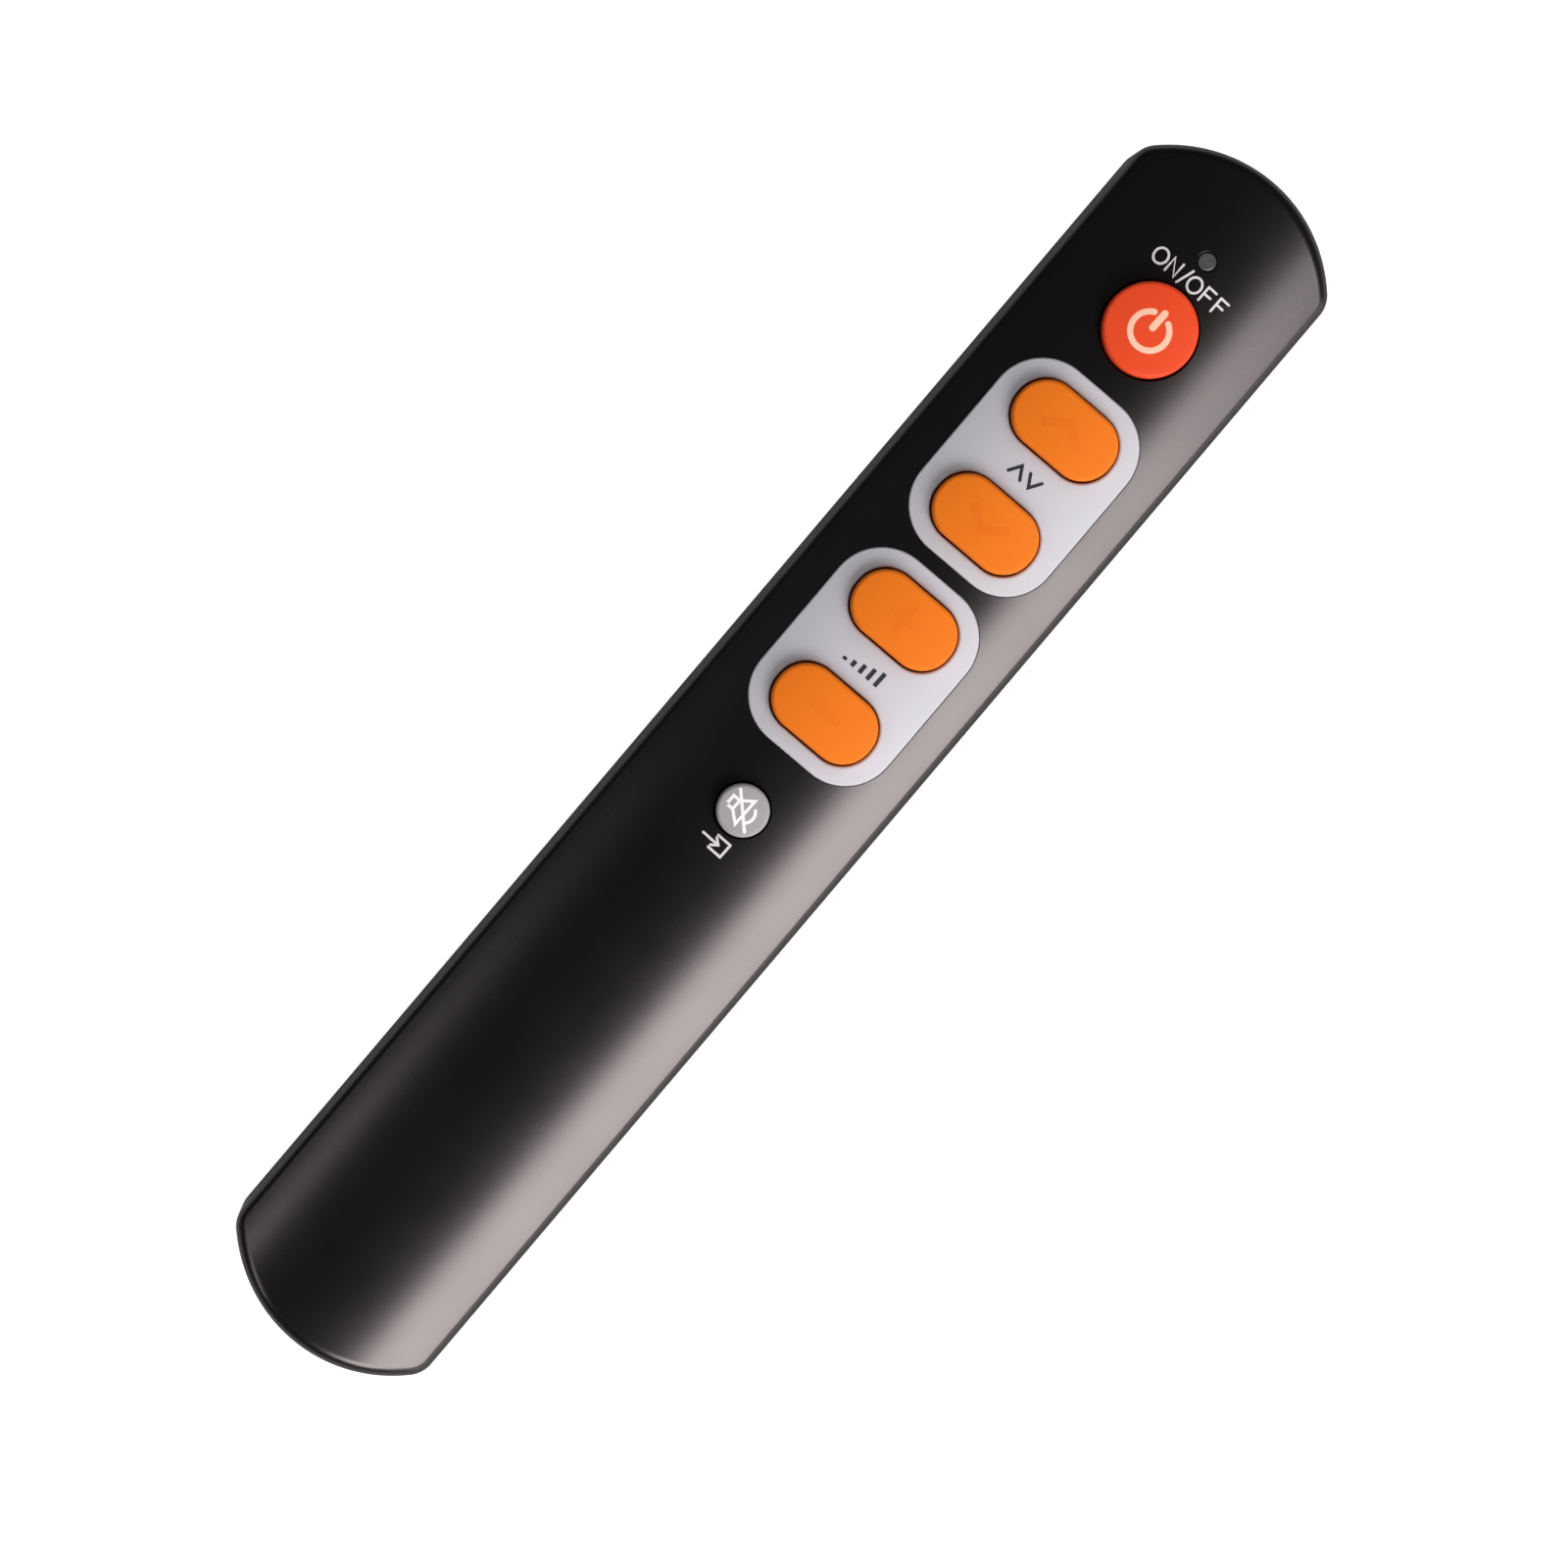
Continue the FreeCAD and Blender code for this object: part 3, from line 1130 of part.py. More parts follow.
def contact_plate(name, x, y, width, tails):
    """Flat plate against a bay wall, with solder tails that reach the board."""
    plate = box(
        name + "_plate_block", width, "Sizes.plate_thick", "Sizes.plate_height",
        (f"{x} - ({width}) / 2", y, "Levels.plate_bottom"),
    )
    if not tails:
        return plate
    reach = "Levels.board_start + Sizes.tail_reach - Levels.bay_start + Sizes.plate_thick"
    tail = box(
        name + "_tail", "Sizes.tail_width", reach, "Sizes.plate_thick",
        (f"{x} - Sizes.tail_width / 2", y, "Levels.tail_bottom"),
    )
    return fuse(name + "_plate_joined", plate, tail)


def build_contacts():
    """Plates at both ends of the bay and the solder on their tails."""
    near = "Levels.bay_start - Sizes.plate_thick"
    left, right = "-Levels.cell_x", "Levels.cell_x"
    piece("negative_plate", contact_plate("negative", left, near, "Sizes.plate_width", True))
    piece("positive_plate", contact_plate("positive", right, near, "Sizes.plate_width", True))
    link_width = "Sizes.plate_width + Levels.cell_x * 2"
    piece("link_plate", contact_plate("link", "0", "Levels.bay_end", link_width, False))
    joints = []
    for name, x in (("left", left), ("right", right)):
        cone = document.addObject("Part::Cone", name + "_solder")
        cone.setExpression("Radius1", "Sizes.solder_radius")
        cone.setExpression("Radius2", "Sizes.solder_radius / 2")
        cone.setExpression("Height", "Sizes.solder_height")
        y = "Levels.board_start + Sizes.tail_reach / 2"
        joints.append(place(cone, x, y, "Levels.tail_bottom + Sizes.plate_thick"))
    piece("solder_joints", group("solder_group", joints))


def biarc(start, start_tangent, end, end_tangent):
    """Two arcs that meet smoothly, from start to end with the given tangents."""
    span = end - start
    both = start_tangent + end_tangent
    bend = 2 * (1 - start_tangent.dot(end_tangent))
    along = span.dot(both)
    reach = (-along + math.sqrt(along * along + bend * span.dot(span))) / bend
    joint = (start + start_tangent * reach + end - end_tangent * reach) * 0.5
    arcs = []
    for a, tangent, b in ((start, start_tangent, joint), (end, end_tangent * -1, joint)):
        chord = b - a
        side = (chord - tangent * chord.dot(tangent)).normalize()
        angle = math.acos(chord.dot(tangent) / chord.Length)
        middle = a + chord * 0.5 - (side * math.cos(angle) - tangent * math.sin(angle)) * (
            chord.Length / 2 * math.tan(angle / 2)
        )
        arcs.append(Part.Arc(a, middle, b) if a == start else Part.Arc(b, middle, a))
    return arcs


def build_spring(name, x, y, sense):
    """Conical spring whose wide end stands on a plate and whose tip presses a cell."""
    turns = read("Sizes.spring_turns")
    wire = read("Sizes.wire_radius")
    wide = read("Sizes.spring_radius")
    tip = read("Sizes.spring_tip_radius")
    gap = read("Sizes.touch_gap")
    height = read("Sizes.spring_space") - 2 * (wire + gap)
    z = read("Levels.cell_z")
    rate = 2 * math.pi

    def point(turn):
        radius = wide + (tip - wide) * turn / turns
        along = gap + wire + height * turn / turns
        angle = rate * turn
        return Vector(x + radius * math.cos(angle), y + sense * along, z + radius * math.sin(angle))

    def tangent(turn):
        step = 1e-5
        return (point(turn + step) - point(turn - step)).normalize()

    quarters = int(turns * 4)
    curves = []
    for n in range(quarters):
        a, b = n / 4, (n + 1) / 4
        curves += biarc(point(a), tangent(a), point(b), tangent(b))
    path = Part.Wire([curve.toShape() for curve in curves])
    section = Part.Wire([Part.Circle(point(0), tangent(0), wire).toShape()])
    shell = Part.BRepOffsetAPI.MakePipeShell(path)
    shell.add(section)
    shell.build()
    shell.makeSolid()
    coil = shell.shape()
    expected = math.pi * wire * wire * path.Length
    print(f"{name}: volume {coil.Volume:.4f}, section times length {expected:.4f}, gap between turns "
          f"{height / turns - 2 * wire:.2f}")
    thing = document.addObject("Part::Feature", name + "_coil")
    thing.Shape = coil
    piece(name, thing)


def build_springs():
    """One spring on the negative plate and one on the link plate."""
    cell_x = read("Levels.cell_x")
    plate = read("Sizes.plate_thick")
    build_spring("negative_spring", -cell_x, read("Levels.bay_start") - plate, -1)
    build_spring("link_spring", cell_x, read("Levels.bay_end") + plate, 1)


def build_screws():
    """Two screws from the back, through the board, into the front shell."""
    screws = []
    for n, y in enumerate(SCREWS):
        head_z = "Sizes.head_depth - Sizes.head_thick"
        head = rod(f"head_{n}", "Sizes.head_radius", "Sizes.head_thick", ("0", y, head_z))
        shank = rod(f"shank_{n}", "Sizes.screw_radius", "Sizes.screw_length", ("0", y, "Sizes.head_depth"))
        bars = (("Sizes.slot_width", "Sizes.head_radius"), ("Sizes.head_radius", "Sizes.slot_width"))
        cross = [
            middle_box(f"cross_{n}_{turn}", *size, "Sizes.slot_depth", ("0", y, head_z))
            for turn, size in enumerate(bars)
        ]
        screws.append(cut(f"screw_{n}", fuse(f"screw_blank_{n}", head, shank), *cross))
    piece("case_screws", group("screw_group", screws))


def check_and_write():
    """Refuse any failed object or broken shape, then write one file per piece."""
    document.recompute()
    for thing in document.Objects:
        if {"Invalid", "Error"} & set(thing.State):
            raise ValueError(f"{thing.Name} failed: {thing.State}")
    os.makedirs("parts", exist_ok=True)
    for name, thing in pieces.items():
        shape = thing.Shape
        if shape.isNull() or not shape.isValid():
            raise ValueError(f"{name} has no valid shape")
        shape.exportStep(os.path.join("parts", name + ".step"))
        print(f"{name}: {len(shape.Solids)} solid(s), {shape.Volume:.2f} mm3")


build_front_shell()
build_panels()
rear_form = build_rear_form()
build_rear_shell(rear_form)
build_battery_door(rear_form)
build_keys()
build_mat()
build_board()
build_window()
build_emitters()
build_indicator()
build_components()
build_cells()
build_contacts()
build_springs()
build_screws()
check_and_write()
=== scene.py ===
import logging
import math
from dataclasses import asdict, dataclass, field, replace
from enum import Enum
from typing import Sequence

import bpy
import numpy as np
from mathutils import Matrix, Vector
from mathutils.geometry import delaunay_2d_cdt


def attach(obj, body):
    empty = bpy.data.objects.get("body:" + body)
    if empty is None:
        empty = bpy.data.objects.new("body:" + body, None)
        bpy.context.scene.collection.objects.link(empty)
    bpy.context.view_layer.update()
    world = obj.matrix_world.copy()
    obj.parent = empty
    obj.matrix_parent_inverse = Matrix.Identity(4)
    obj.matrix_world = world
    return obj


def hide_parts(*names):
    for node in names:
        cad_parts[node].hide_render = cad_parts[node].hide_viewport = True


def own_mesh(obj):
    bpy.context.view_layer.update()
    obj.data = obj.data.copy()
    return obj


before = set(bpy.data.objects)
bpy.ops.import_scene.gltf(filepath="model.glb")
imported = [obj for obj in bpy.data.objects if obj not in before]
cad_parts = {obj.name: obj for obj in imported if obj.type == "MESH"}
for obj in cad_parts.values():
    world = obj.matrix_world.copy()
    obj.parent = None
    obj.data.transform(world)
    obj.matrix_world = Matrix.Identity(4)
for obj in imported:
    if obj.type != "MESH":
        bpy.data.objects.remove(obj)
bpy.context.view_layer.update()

# A slim learning remote control. Sizes are millimetres in the CAD frame; meshes are written in metres.
Array = np.ndarray
Pair = tuple[float, float]
Triple = tuple[float, float, float]
Four = tuple[float, float, float, float]
Colour = Triple
Socket = bpy.types.NodeSocket
Value = Socket | tuple[float, ...] | float
MM = 0.001
LOG = logging.getLogger("remote")


# ---- ground surfaces ----


@dataclass(frozen=True)
class Level:
    """Flat ground at one height."""

    at: float

    def height(self, plan: Array) -> Array:
        """Height over each plan point: the same everywhere."""
        return np.full(len(plan), self.at)

    def normal(self, plan: Array) -> Array:
        """Upward direction at each plan point."""
        return np.tile((0.0, 0.0, 1.0), (len(plan), 1))

    def lift(self, plan: Array) -> Array:
        """Plan points with their heights."""
        return np.column_stack((plan, self.height(plan)))


@dataclass(frozen=True)
class Crown(Level):
    """Round ground about a line along Y: height = axis + root(radius squared - x squared)."""

    at: float
    axis: float = -14.0

    def height(self, plan: Array) -> Array:
        """Height over each plan point."""
        return self.axis + np.sqrt(self.at**2 - plan[:, 0] ** 2)

    def normal(self, plan: Array) -> Array:
        """Direction away from the axis at each plan point."""
        up = self.height(plan) - self.axis
        return np.column_stack((plan[:, 0], np.zeros(len(plan)), up)) / self.at


# ---- plan lines ----


class Outline:
    """Closed plan line made of spokes: each sample is a centre plus a radius in a direction.

    Moving the line in by an inset shortens every spoke by it, so all insets share their samples.
    A hole is walked the other way round and its material lies outside, so an inset lengthens the spokes.
    """

    hole = False

    def spokes(self, inset: float) -> tuple[Array, Array, Array]:
        """Centres, lengths and directions in radians of the spokes."""
        raise NotImplementedError

    def ring(self, inset: float = 0.0) -> Array:
        """Plan points of the line moved into the material.

        Args:
            inset: distance into the material.

        Returns:
            One point for each sample.
        """
        centres, lengths, turns = self.spokes(inset)
        away = np.column_stack((np.cos(turns), np.sin(turns)))
        if self.hole:
            return (centres + (lengths + inset)[:, None] * away)[::-1]
        return centres + (lengths - inset)[:, None] * away

    def out(self, inset: float = 0.0) -> Array:
        """Unit plan directions out of the material at each sample.

        Args:
            inset: distance into the material.

        Returns:
            One direction for each sample.
        """
        turns = self.spokes(inset)[2]
        away = np.column_stack((np.cos(turns), np.sin(turns)))
        return -away[::-1] if self.hole else away


@dataclass
class RoundOutline(Outline):
    """Circle."""

    middle: Pair
    radius: float
    samples: int = 64
    hole: bool = False

    def spokes(self, inset: float) -> tuple[Array, Array, Array]:
        """Equal spokes all round."""
        turns = np.arange(self.samples) * math.tau / self.samples
        return np.tile(self.middle, (self.samples, 1)), np.full(self.samples, self.radius), turns


@dataclass
class BoxOutline(Outline):
    """Rectangle with rounded corners."""

    middle: Pair
    half: Pair
    corner: float
    fine: int = 14
    step: float = 1.5
    hole: bool = False

    def spokes(self, inset: float) -> tuple[Array, Array, Array]:
        """Quarter arcs about four centres; along a straight side the centre slides to the next one.

        Args:
            inset: distance into the material.

        Returns:
            Centres, lengths and directions in radians of the spokes.
        """
        reach = np.array(self.half) - self.corner
        corners = np.array(self.middle) + reach * np.array(((1, 1), (-1, 1), (-1, -1), (1, -1)))
        centres, turns = [], []
        for n, centre in enumerate(corners):
            following = corners[(n + 1) % 4]
            count = max(1, round(float(np.linalg.norm(following - centre)) / self.step))
            share = np.linspace(0, 1, count + 1)[1:-1, None]
            arc = (n + np.linspace(0, 1, self.fine + 1)) * math.pi / 2
            centres += [np.tile(centre, (len(arc), 1)), centre + share * (following - centre)]
            turns += [arc, np.full(len(share), arc[-1])]
        middles = np.concatenate(centres)
        return middles, np.full(len(middles), self.corner), np.concatenate(turns)


@dataclass
class CaseOutline(Outline):
    """Case seen from the front: straight sides, a wide arc at each end and rounded corners."""

    half_width: float = 14.0
    half_length: float = 86.15
    end_radius: float = 18.6
    corner: float = 3.5
    window_half: float = 8.1
    step: float = 5.0

    def spokes(self, inset: float) -> tuple[Array, Array, Array]:
        """Corner arcs, end arcs and sides; on the end arcs a sample keeps to the window's edge at every inset.

        Args:
            inset: distance into the material.

        Returns:
            Centres, lengths and directions in radians of the spokes.
        """
        arc_y = self.half_length - self.end_radius
        corner_x = self.half_width - self.corner
        rise = math.sqrt((self.end_radius - self.corner) ** 2 - corner_x**2)
        turn = math.atan2(rise, corner_x)
        edge = math.acos(self.window_half / (self.end_radius - inset))
        bend = np.linspace(0, turn, 15)
        end = np.concatenate((np.linspace(turn, edge, 7)[1:], np.linspace(edge, math.pi - edge, 29)[1:]))
        end = np.concatenate((end, np.linspace(math.pi - edge, math.pi - turn, 7)[1:-1]))
        count = round(2 * (arc_y + rise) / self.step)
        side = np.linspace(arc_y + rise, -arc_y - rise, count + 1)[1:-1]
        centres, lengths, turns = [], [], []
        for flip in (1, -1):
            low = 0 if flip == 1 else math.pi
            parts = (
                ((flip * corner_x, flip * (arc_y + rise)), self.corner, bend),
                ((0, flip * arc_y), self.end_radius, end),
                ((-flip * corner_x, flip * (arc_y + rise)), self.corner, math.pi - bend[::-1]),
            )
            for centre, length, angles in parts:
                centres.append(np.tile(centre, (len(angles), 1)).astype(float))
                lengths.append(np.full(len(angles), length))
                turns.append(low + angles)
            centres.append(np.column_stack((np.full(len(side), -flip * corner_x), flip * side)))
            lengths.append(np.full(len(side), self.corner))
            turns.append(np.full(len(side), low + math.pi))
        return np.concatenate(centres), np.concatenate(lengths), np.concatenate(turns)

    def over_window(self) -> Array:
        """Which stretches between neighbouring samples lie over the infrared window.

        Returns:
            One truth value for each stretch.
        """
        ring = self.ring()
        middle = (ring + np.roll(ring, -1, axis=0)) / 2
        return (np.abs(middle[:, 0]) < self.window_half) & (middle[:, 1] > self.half_length - self.corner)


def within(points: Array, ring: Array) -> Array:
    """Which plan points lie inside a closed line: a ray to the right crosses it an odd number of times.

    Args:
        points: plan points.
        ring: corners of the closed line.

    Returns:
        One truth value for each point.
    """
    start, end = ring, np.roll(ring, -1, axis=0)
    x, y = points[:, :1], points[:, 1:]
    spans = (start[:, 1] > y) != (end[:, 1] > y)
    rise = np.where(end[:, 1] == start[:, 1], 1.0, end[:, 1] - start[:, 1])
    cross = start[:, 0] + (y - start[:, 1]) / rise * (end[:, 0] - start[:, 0])
    return (spans & (x < cross)).sum(1) % 2 == 1


def triangulate(rings: Sequence[Array], extra: Array) -> tuple[Array, Array]:
    """Delaunay triangles of a plan that keep the rings as edges.

    Args:
        rings: closed lines.
        extra: more points to use.

    Returns:
        Plan points and the triangles' corner numbers, counter-clockwise.
    """
    plan = np.concatenate([*rings, extra])
    edges, first = [], 0
    for ring in rings:
        numbers = first + np.arange(len(ring))
        edges += np.column_stack((numbers, np.roll(numbers, -1))).tolist()
        first += len(ring)
    found = delaunay_2d_cdt([Vector(p) for p in plan.tolist()], edges, [], 0, 1e-6, True)
    made = np.array([tuple(v) for v in found[0]])
    kept = [(n, ids[0]) for n, ids in enumerate(found[3]) if ids]
    here, there = np.array(kept).T
    made[here] = plan[there]
    faces = np.array(found[2])
    a, b, c = (made[faces[:, n]] for n in range(3))
    area = (b[:, 0] - a[:, 0]) * (c[:, 1] - a[:, 1]) - (b[:, 1] - a[:, 1]) * (c[:, 0] - a[:, 0])
    faces[area < 0] = faces[area < 0][:, ::-1]
    return made, faces[np.abs(area) > 1e-9]


def filling(rings: Sequence[Array], spacing: Pair, clear: float) -> Array:
    """Grid points inside the first ring and clear of the samples of every ring.

    Args:
        rings: closed lines, the outer one first.
        spacing: distance of the points across and along.
        clear: least distance from the rings' samples.

    Returns:
        Plan points.
    """
    low, high = rings[0].min(0), rings[0].max(0)
    counts = np.maximum(1, np.round((high - low) / spacing)).astype(int)
    x, y = (np.linspace(low[n], high[n], counts[n] + 1)[1:-1] for n in range(2))
    points = np.stack(np.meshgrid(x, y), -1).reshape(-1, 2)
    points = points[within(points, rings[0])]
    lines = np.concatenate(rings)
    if len(points):
        near = np.linalg.norm(points[:, None] - lines[None], axis=2).min(1)
        points = points[near > clear]
    return points


# ---- meshes ----


def linked(name: str, data: bpy.types.ID) -> bpy.types.Object:
    """New object with the data, linked to the scene.

    Args:
        name: the object's name.
        data: its mesh, lamp or camera.

    Returns:
        The object.
    """
    made = bpy.data.objects.new(name, data)
    bpy.context.scene.collection.objects.link(made)
    return made


class Surface:
    """A mesh gathered from patches, welded where they meet, each patch keeping its own normals there."""

    def __init__(self) -> None:
        """Start empty."""
        self.points: list[Array] = []
        self.normals: list[Array] = []
        self.faces: list[Array] = []
        self.total = 0

    def add(self, points: Array, normals: Array, faces: Array) -> None:
        """Add one patch.

        Args:
            points: corners in millimetres.
            normals: outward direction at each corner.
            faces: corner numbers of each face, one row each.
        """
        self.points.append(points)
        self.normals.append(normals)
        self.faces.append(faces + self.total)
        self.total += len(points)

    def grid(self, points: Array, normals: Array, keep: Array | None = None, closed: bool = True) -> None:
        """Add a sheet of quads over rows and columns.

        Args:
            points: rows by columns by three; outward is column direction cross row direction.
            normals: the same shape.
            keep: which columns of cells are wanted.
            closed: whether the last column joins the first.
        """
        rows, columns = points.shape[:2]
        index = np.arange(rows * columns).reshape(rows, columns)
        beside = np.roll(index, -1, axis=1)
        cells = np.stack((index[:-1], beside[:-1], beside[1:], index[1:]), -1)
        if not closed:
            cells = cells[:, :-1]
        if keep is not None:
            cells = cells[:, keep]
        self.add(points.reshape(-1, 3), normals.reshape(-1, 3), cells.reshape(-1, 4))

    def strip(self, line: Outline, start: tuple[float, float | Array], end: tuple[float, float | Array],
              keep: Array | None = None) -> None:
        """Add a band along a plan line between two (inset, height) places.

        The band's normal is the rise times the outward direction plus the change of inset times up.

        Args:
            line: plan line to follow.
            start: inset and height of the first edge.
            end: inset and height of the second edge.
            keep: which stretches of the line are wanted.
        """
        rows = [np.column_stack((line.ring(i), np.broadcast_to(z, len(line.ring(i))))) for i, z in (start, end)]
        rise = float(np.mean(np.subtract(end[1], start[1])))
        if start[0] == end[0]:
            facing = np.column_stack((line.out(start[0]) * math.copysign(1, rise), np.zeros(len(rows[0]))))
        else:
            drift = end[0] - start[0]
            flat = np.column_stack((line.out(start[0]) * rise, np.full(len(rows[0]), drift)))
            facing = flat / math.hypot(rise, drift)
        self.grid(np.stack(rows), np.stack((facing, facing)), keep)

    def roll(self, line: Outline, ground: Level, radius: float, steps: int) -> tuple[Array, Array]:
        """Add the rounding between an upright wall and the ground: a ball of the radius rolled along the edge.

        The ball's centre keeps one radius inside the wall and below the ground. Its touching direction
        swings on a great circle from the wall's outward direction to the ground's upward one.

        Args:
            line: plan line of the wall.
            ground: surface on top.
            radius: the ball's radius.
            steps: rows of faces.

        Returns:
            Height of the wall's top edge at each sample, and the plan line where the ground begins.
        """
        centre = Crown(ground.at - radius, ground.axis).lift(line.ring(radius))
        up = Crown(ground.at - radius, ground.axis).normal(centre[:, :2])
        out = np.column_stack((line.out(radius), np.zeros(len(centre))))
        angle = np.arccos(np.clip((up * out).sum(1), -1, 1))[:, None]
        share = np.linspace(0, 1, steps + 1)[:, None, None]
        facing = (np.sin((1 - share) * angle) * out + np.sin(share * angle) * up) / np.sin(angle)
        points = centre + radius * facing
        points[0, :, :2] = line.ring()
        self.grid(points, facing)
        return points[0, :, 2], points[-1, :, :2]

    def wall(self, line: Outline, foot: Level, ground: Level, radius: float, steps: int) -> Array:
        """Add an upright wall from one ground up to another, with a rolled edge at its top.

        Args:
            line: plan line of the wall.
            foot: ground at its foot.
            ground: ground at its top.
            radius: radius of the rolled edge.
            steps: rows of faces of the edge.

        Returns:
            The plan line where the upper ground begins.
        """
        top, edge = self.roll(line, ground, radius, steps)
        self.strip(line, (0, foot.height(line.ring())), (0, top))
        return edge

    def plate(self, outer: Array, holes: Sequence[Array], ground: Level, spacing: Pair = (1.2, 5.0),
              down: bool = False) -> None:
        """Add a sheet that follows the ground inside a ring and outside the holes.

        Height is the ground's function of the plan point; the plan is cut into triangles.

        Args:
            outer: plan line of the edge.
            holes: plan lines of the openings.
            ground: surface to follow.
            spacing: distance of the inner points across and along.
            down: whether the sheet faces down.
        """
        rings = [outer, *holes]
        plan, faces = triangulate(rings, filling(rings, spacing, min(spacing) * 0.45))
        middles = plan[faces].mean(1)
        wanted = within(middles, outer)
        for hole in holes:
            wanted &= ~within(middles, hole)
        faces = faces[wanted]
        normals = ground.normal(plan)
        if down:
            faces, normals = faces[:, ::-1], -normals
        self.add(ground.lift(plan), normals, faces)

    def inlay(self, shapes: Sequence[Array], ground: Level, rise: float, sink: float, spacing: float = 0.4) -> None:
        """Add thin closed plates that follow the ground: the joined area of the shapes, with side walls.

        Args:
            shapes: closed plan lines, which may overlap.
            ground: surface to follow.
            rise: top above the ground.
            sink: bottom below the ground.
            spacing: distance of the inner points.
        """
        dense = [densify(shape, spacing) for shape in shapes]
        every = np.concatenate(dense)
        box = np.array((every.min(0), (every[:, 0].max(), every[:, 1].min()), every.max(0),
                        (every[:, 0].min(), every[:, 1].max())))
        inner = filling([box], (spacing, spacing), 0.0)
        near = np.linalg.norm(inner[:, None] - every[None], axis=2).min(1)
        plan, faces = triangulate(dense, inner[near > spacing * 0.4])
        middles = plan[faces].mean(1)
        wanted = np.zeros(len(faces), bool)
        for shape in dense:
            wanted |= within(middles, shape)
        faces = faces[wanted]
        normals = ground.normal(plan)
        base = ground.lift(plan)
        self.add(base + rise * normals, normals, faces)
        self.add(base - sink * normals, -normals, faces[:, ::-1])
        sides = np.concatenate((faces[:, (0, 1)], faces[:, (1, 2)], faces[:, (2, 0)]))
        _, where, count = np.unique(np.sort(sides, axis=1), axis=0, return_index=True, return_counts=True)
        rim = sides[where[count == 1]]
        start, end = base[rim[:, 0]], base[rim[:, 1]]
        away = np.cross(end - start, normals[rim[:, 0]])
        away /= np.linalg.norm(away, axis=1, keepdims=True)
        first, second = normals[rim[:, 0]], normals[rim[:, 1]]
        corners = np.stack((start - sink * first, end - sink * second, end + rise * second, start + rise * first), 1)
        self.add(corners.reshape(-1, 3), np.repeat(away, 4, axis=0), np.arange(len(rim) * 4).reshape(-1, 4))

    def turned(self, y: float, profile: Array, samples: int = 48) -> None:
        """Add a profile of flat-sided stretches turned about the upright line through (0, y).

        Args:
            y: place of the line.
            profile: (radius, height) corners in order, outward on the left of each stretch.
            samples: columns round the line.
        """
        for start, end in zip(profile[:-1], profile[1:]):
            radial, axial = end[1] - start[1], start[0] - end[0]
            slope = np.array((radial, axial)) / math.hypot(radial, axial)
            self.smooth_turned(y, np.array((start, end)), np.array((slope, slope)), samples)

    def smooth_turned(self, y: float, profile: Array, slopes: Array, samples: int = 48) -> None:
        """Add a smooth profile turned about the upright line through (0, y).

        Args:
            y: place of the line.
            profile: (radius, height) of each row.
            slopes: outward direction of each row as (radial, upward) parts.
            samples: columns round the line.
        """
        turns = np.arange(samples) * math.tau / samples
        spokes = np.column_stack((np.cos(turns), np.sin(turns), np.zeros(samples)))
        up = np.array((0.0, 0.0, 1.0))
        points = np.array((0.0, y, 0.0)) + profile[:, None, 1:] * up + profile[:, None, :1] * spokes
        self.grid(points, slopes[:, None, 1:] * up + slopes[:, None, :1] * spokes)

    def polygon(self, corners: Array, facing: Sequence[float]) -> None:
        """Add one flat face with any number of corners."""
        self.add(corners, np.tile(np.array(facing, float), (len(corners), 1)), np.arange(len(corners))[None])

    def build(self, name: str) -> bpy.types.Object:
        """Weld the patches and make the object.

        Corners that agree to a tenth of a micrometre become one. A quad that lost a corner becomes a triangle.

        Args:
            name: the piece's name.

        Returns:
            The new object, linked to the scene.
        """
        raw = np.concatenate(self.points)
        facing = np.concatenate(self.normals)
        _, first, merged = np.unique(np.round(raw, 4) + 0.0, axis=0, return_index=True, return_inverse=True)
        merged = merged.reshape(-1)
        faces: list[list[int]] = []
        used: list[Array] = []
        for block in self.faces:
            width = block.shape[1]
            same = merged[block] == merged[np.roll(block, -1, axis=1)]
            whole = ~same.any(1)
            faces += merged[block[whole]].tolist()
            used.append(block[whole].reshape(-1))
            if width == 4:
                for column in range(4):
                    short = same[:, column] & (same.sum(1) == 1)
                    left = np.delete(block[short], column, axis=1)
                    faces += merged[left].tolist()
                    used.append(left.reshape(-1))
        mesh = bpy.data.meshes.new(name)
        mesh.from_pydata(raw[first] * MM, [], faces, shade_flat=False)
        mesh.normals_split_custom_set(facing[np.concatenate(used)].tolist())
        return linked(name, mesh)


# ---- flat shapes for prints ----


def densify(ring: Array, step: float) -> Array:
    """Closed line with further points so that none of its stretches is longer than step.

    Args:
        ring: closed line.
        step: longest stretch.

    Returns:
        The line with its further points.
    """
    gaps = np.roll(ring, -1, axis=0) - ring
    counts = np.maximum(1, np.ceil(np.linalg.norm(gaps, axis=1) / step)).astype(int)
    which = np.repeat(np.arange(len(ring)), counts)
    place = np.arange(len(which)) - np.repeat(np.cumsum(counts) - counts, counts)
    return ring[which] + gaps[which] * (place / counts[which])[:, None]


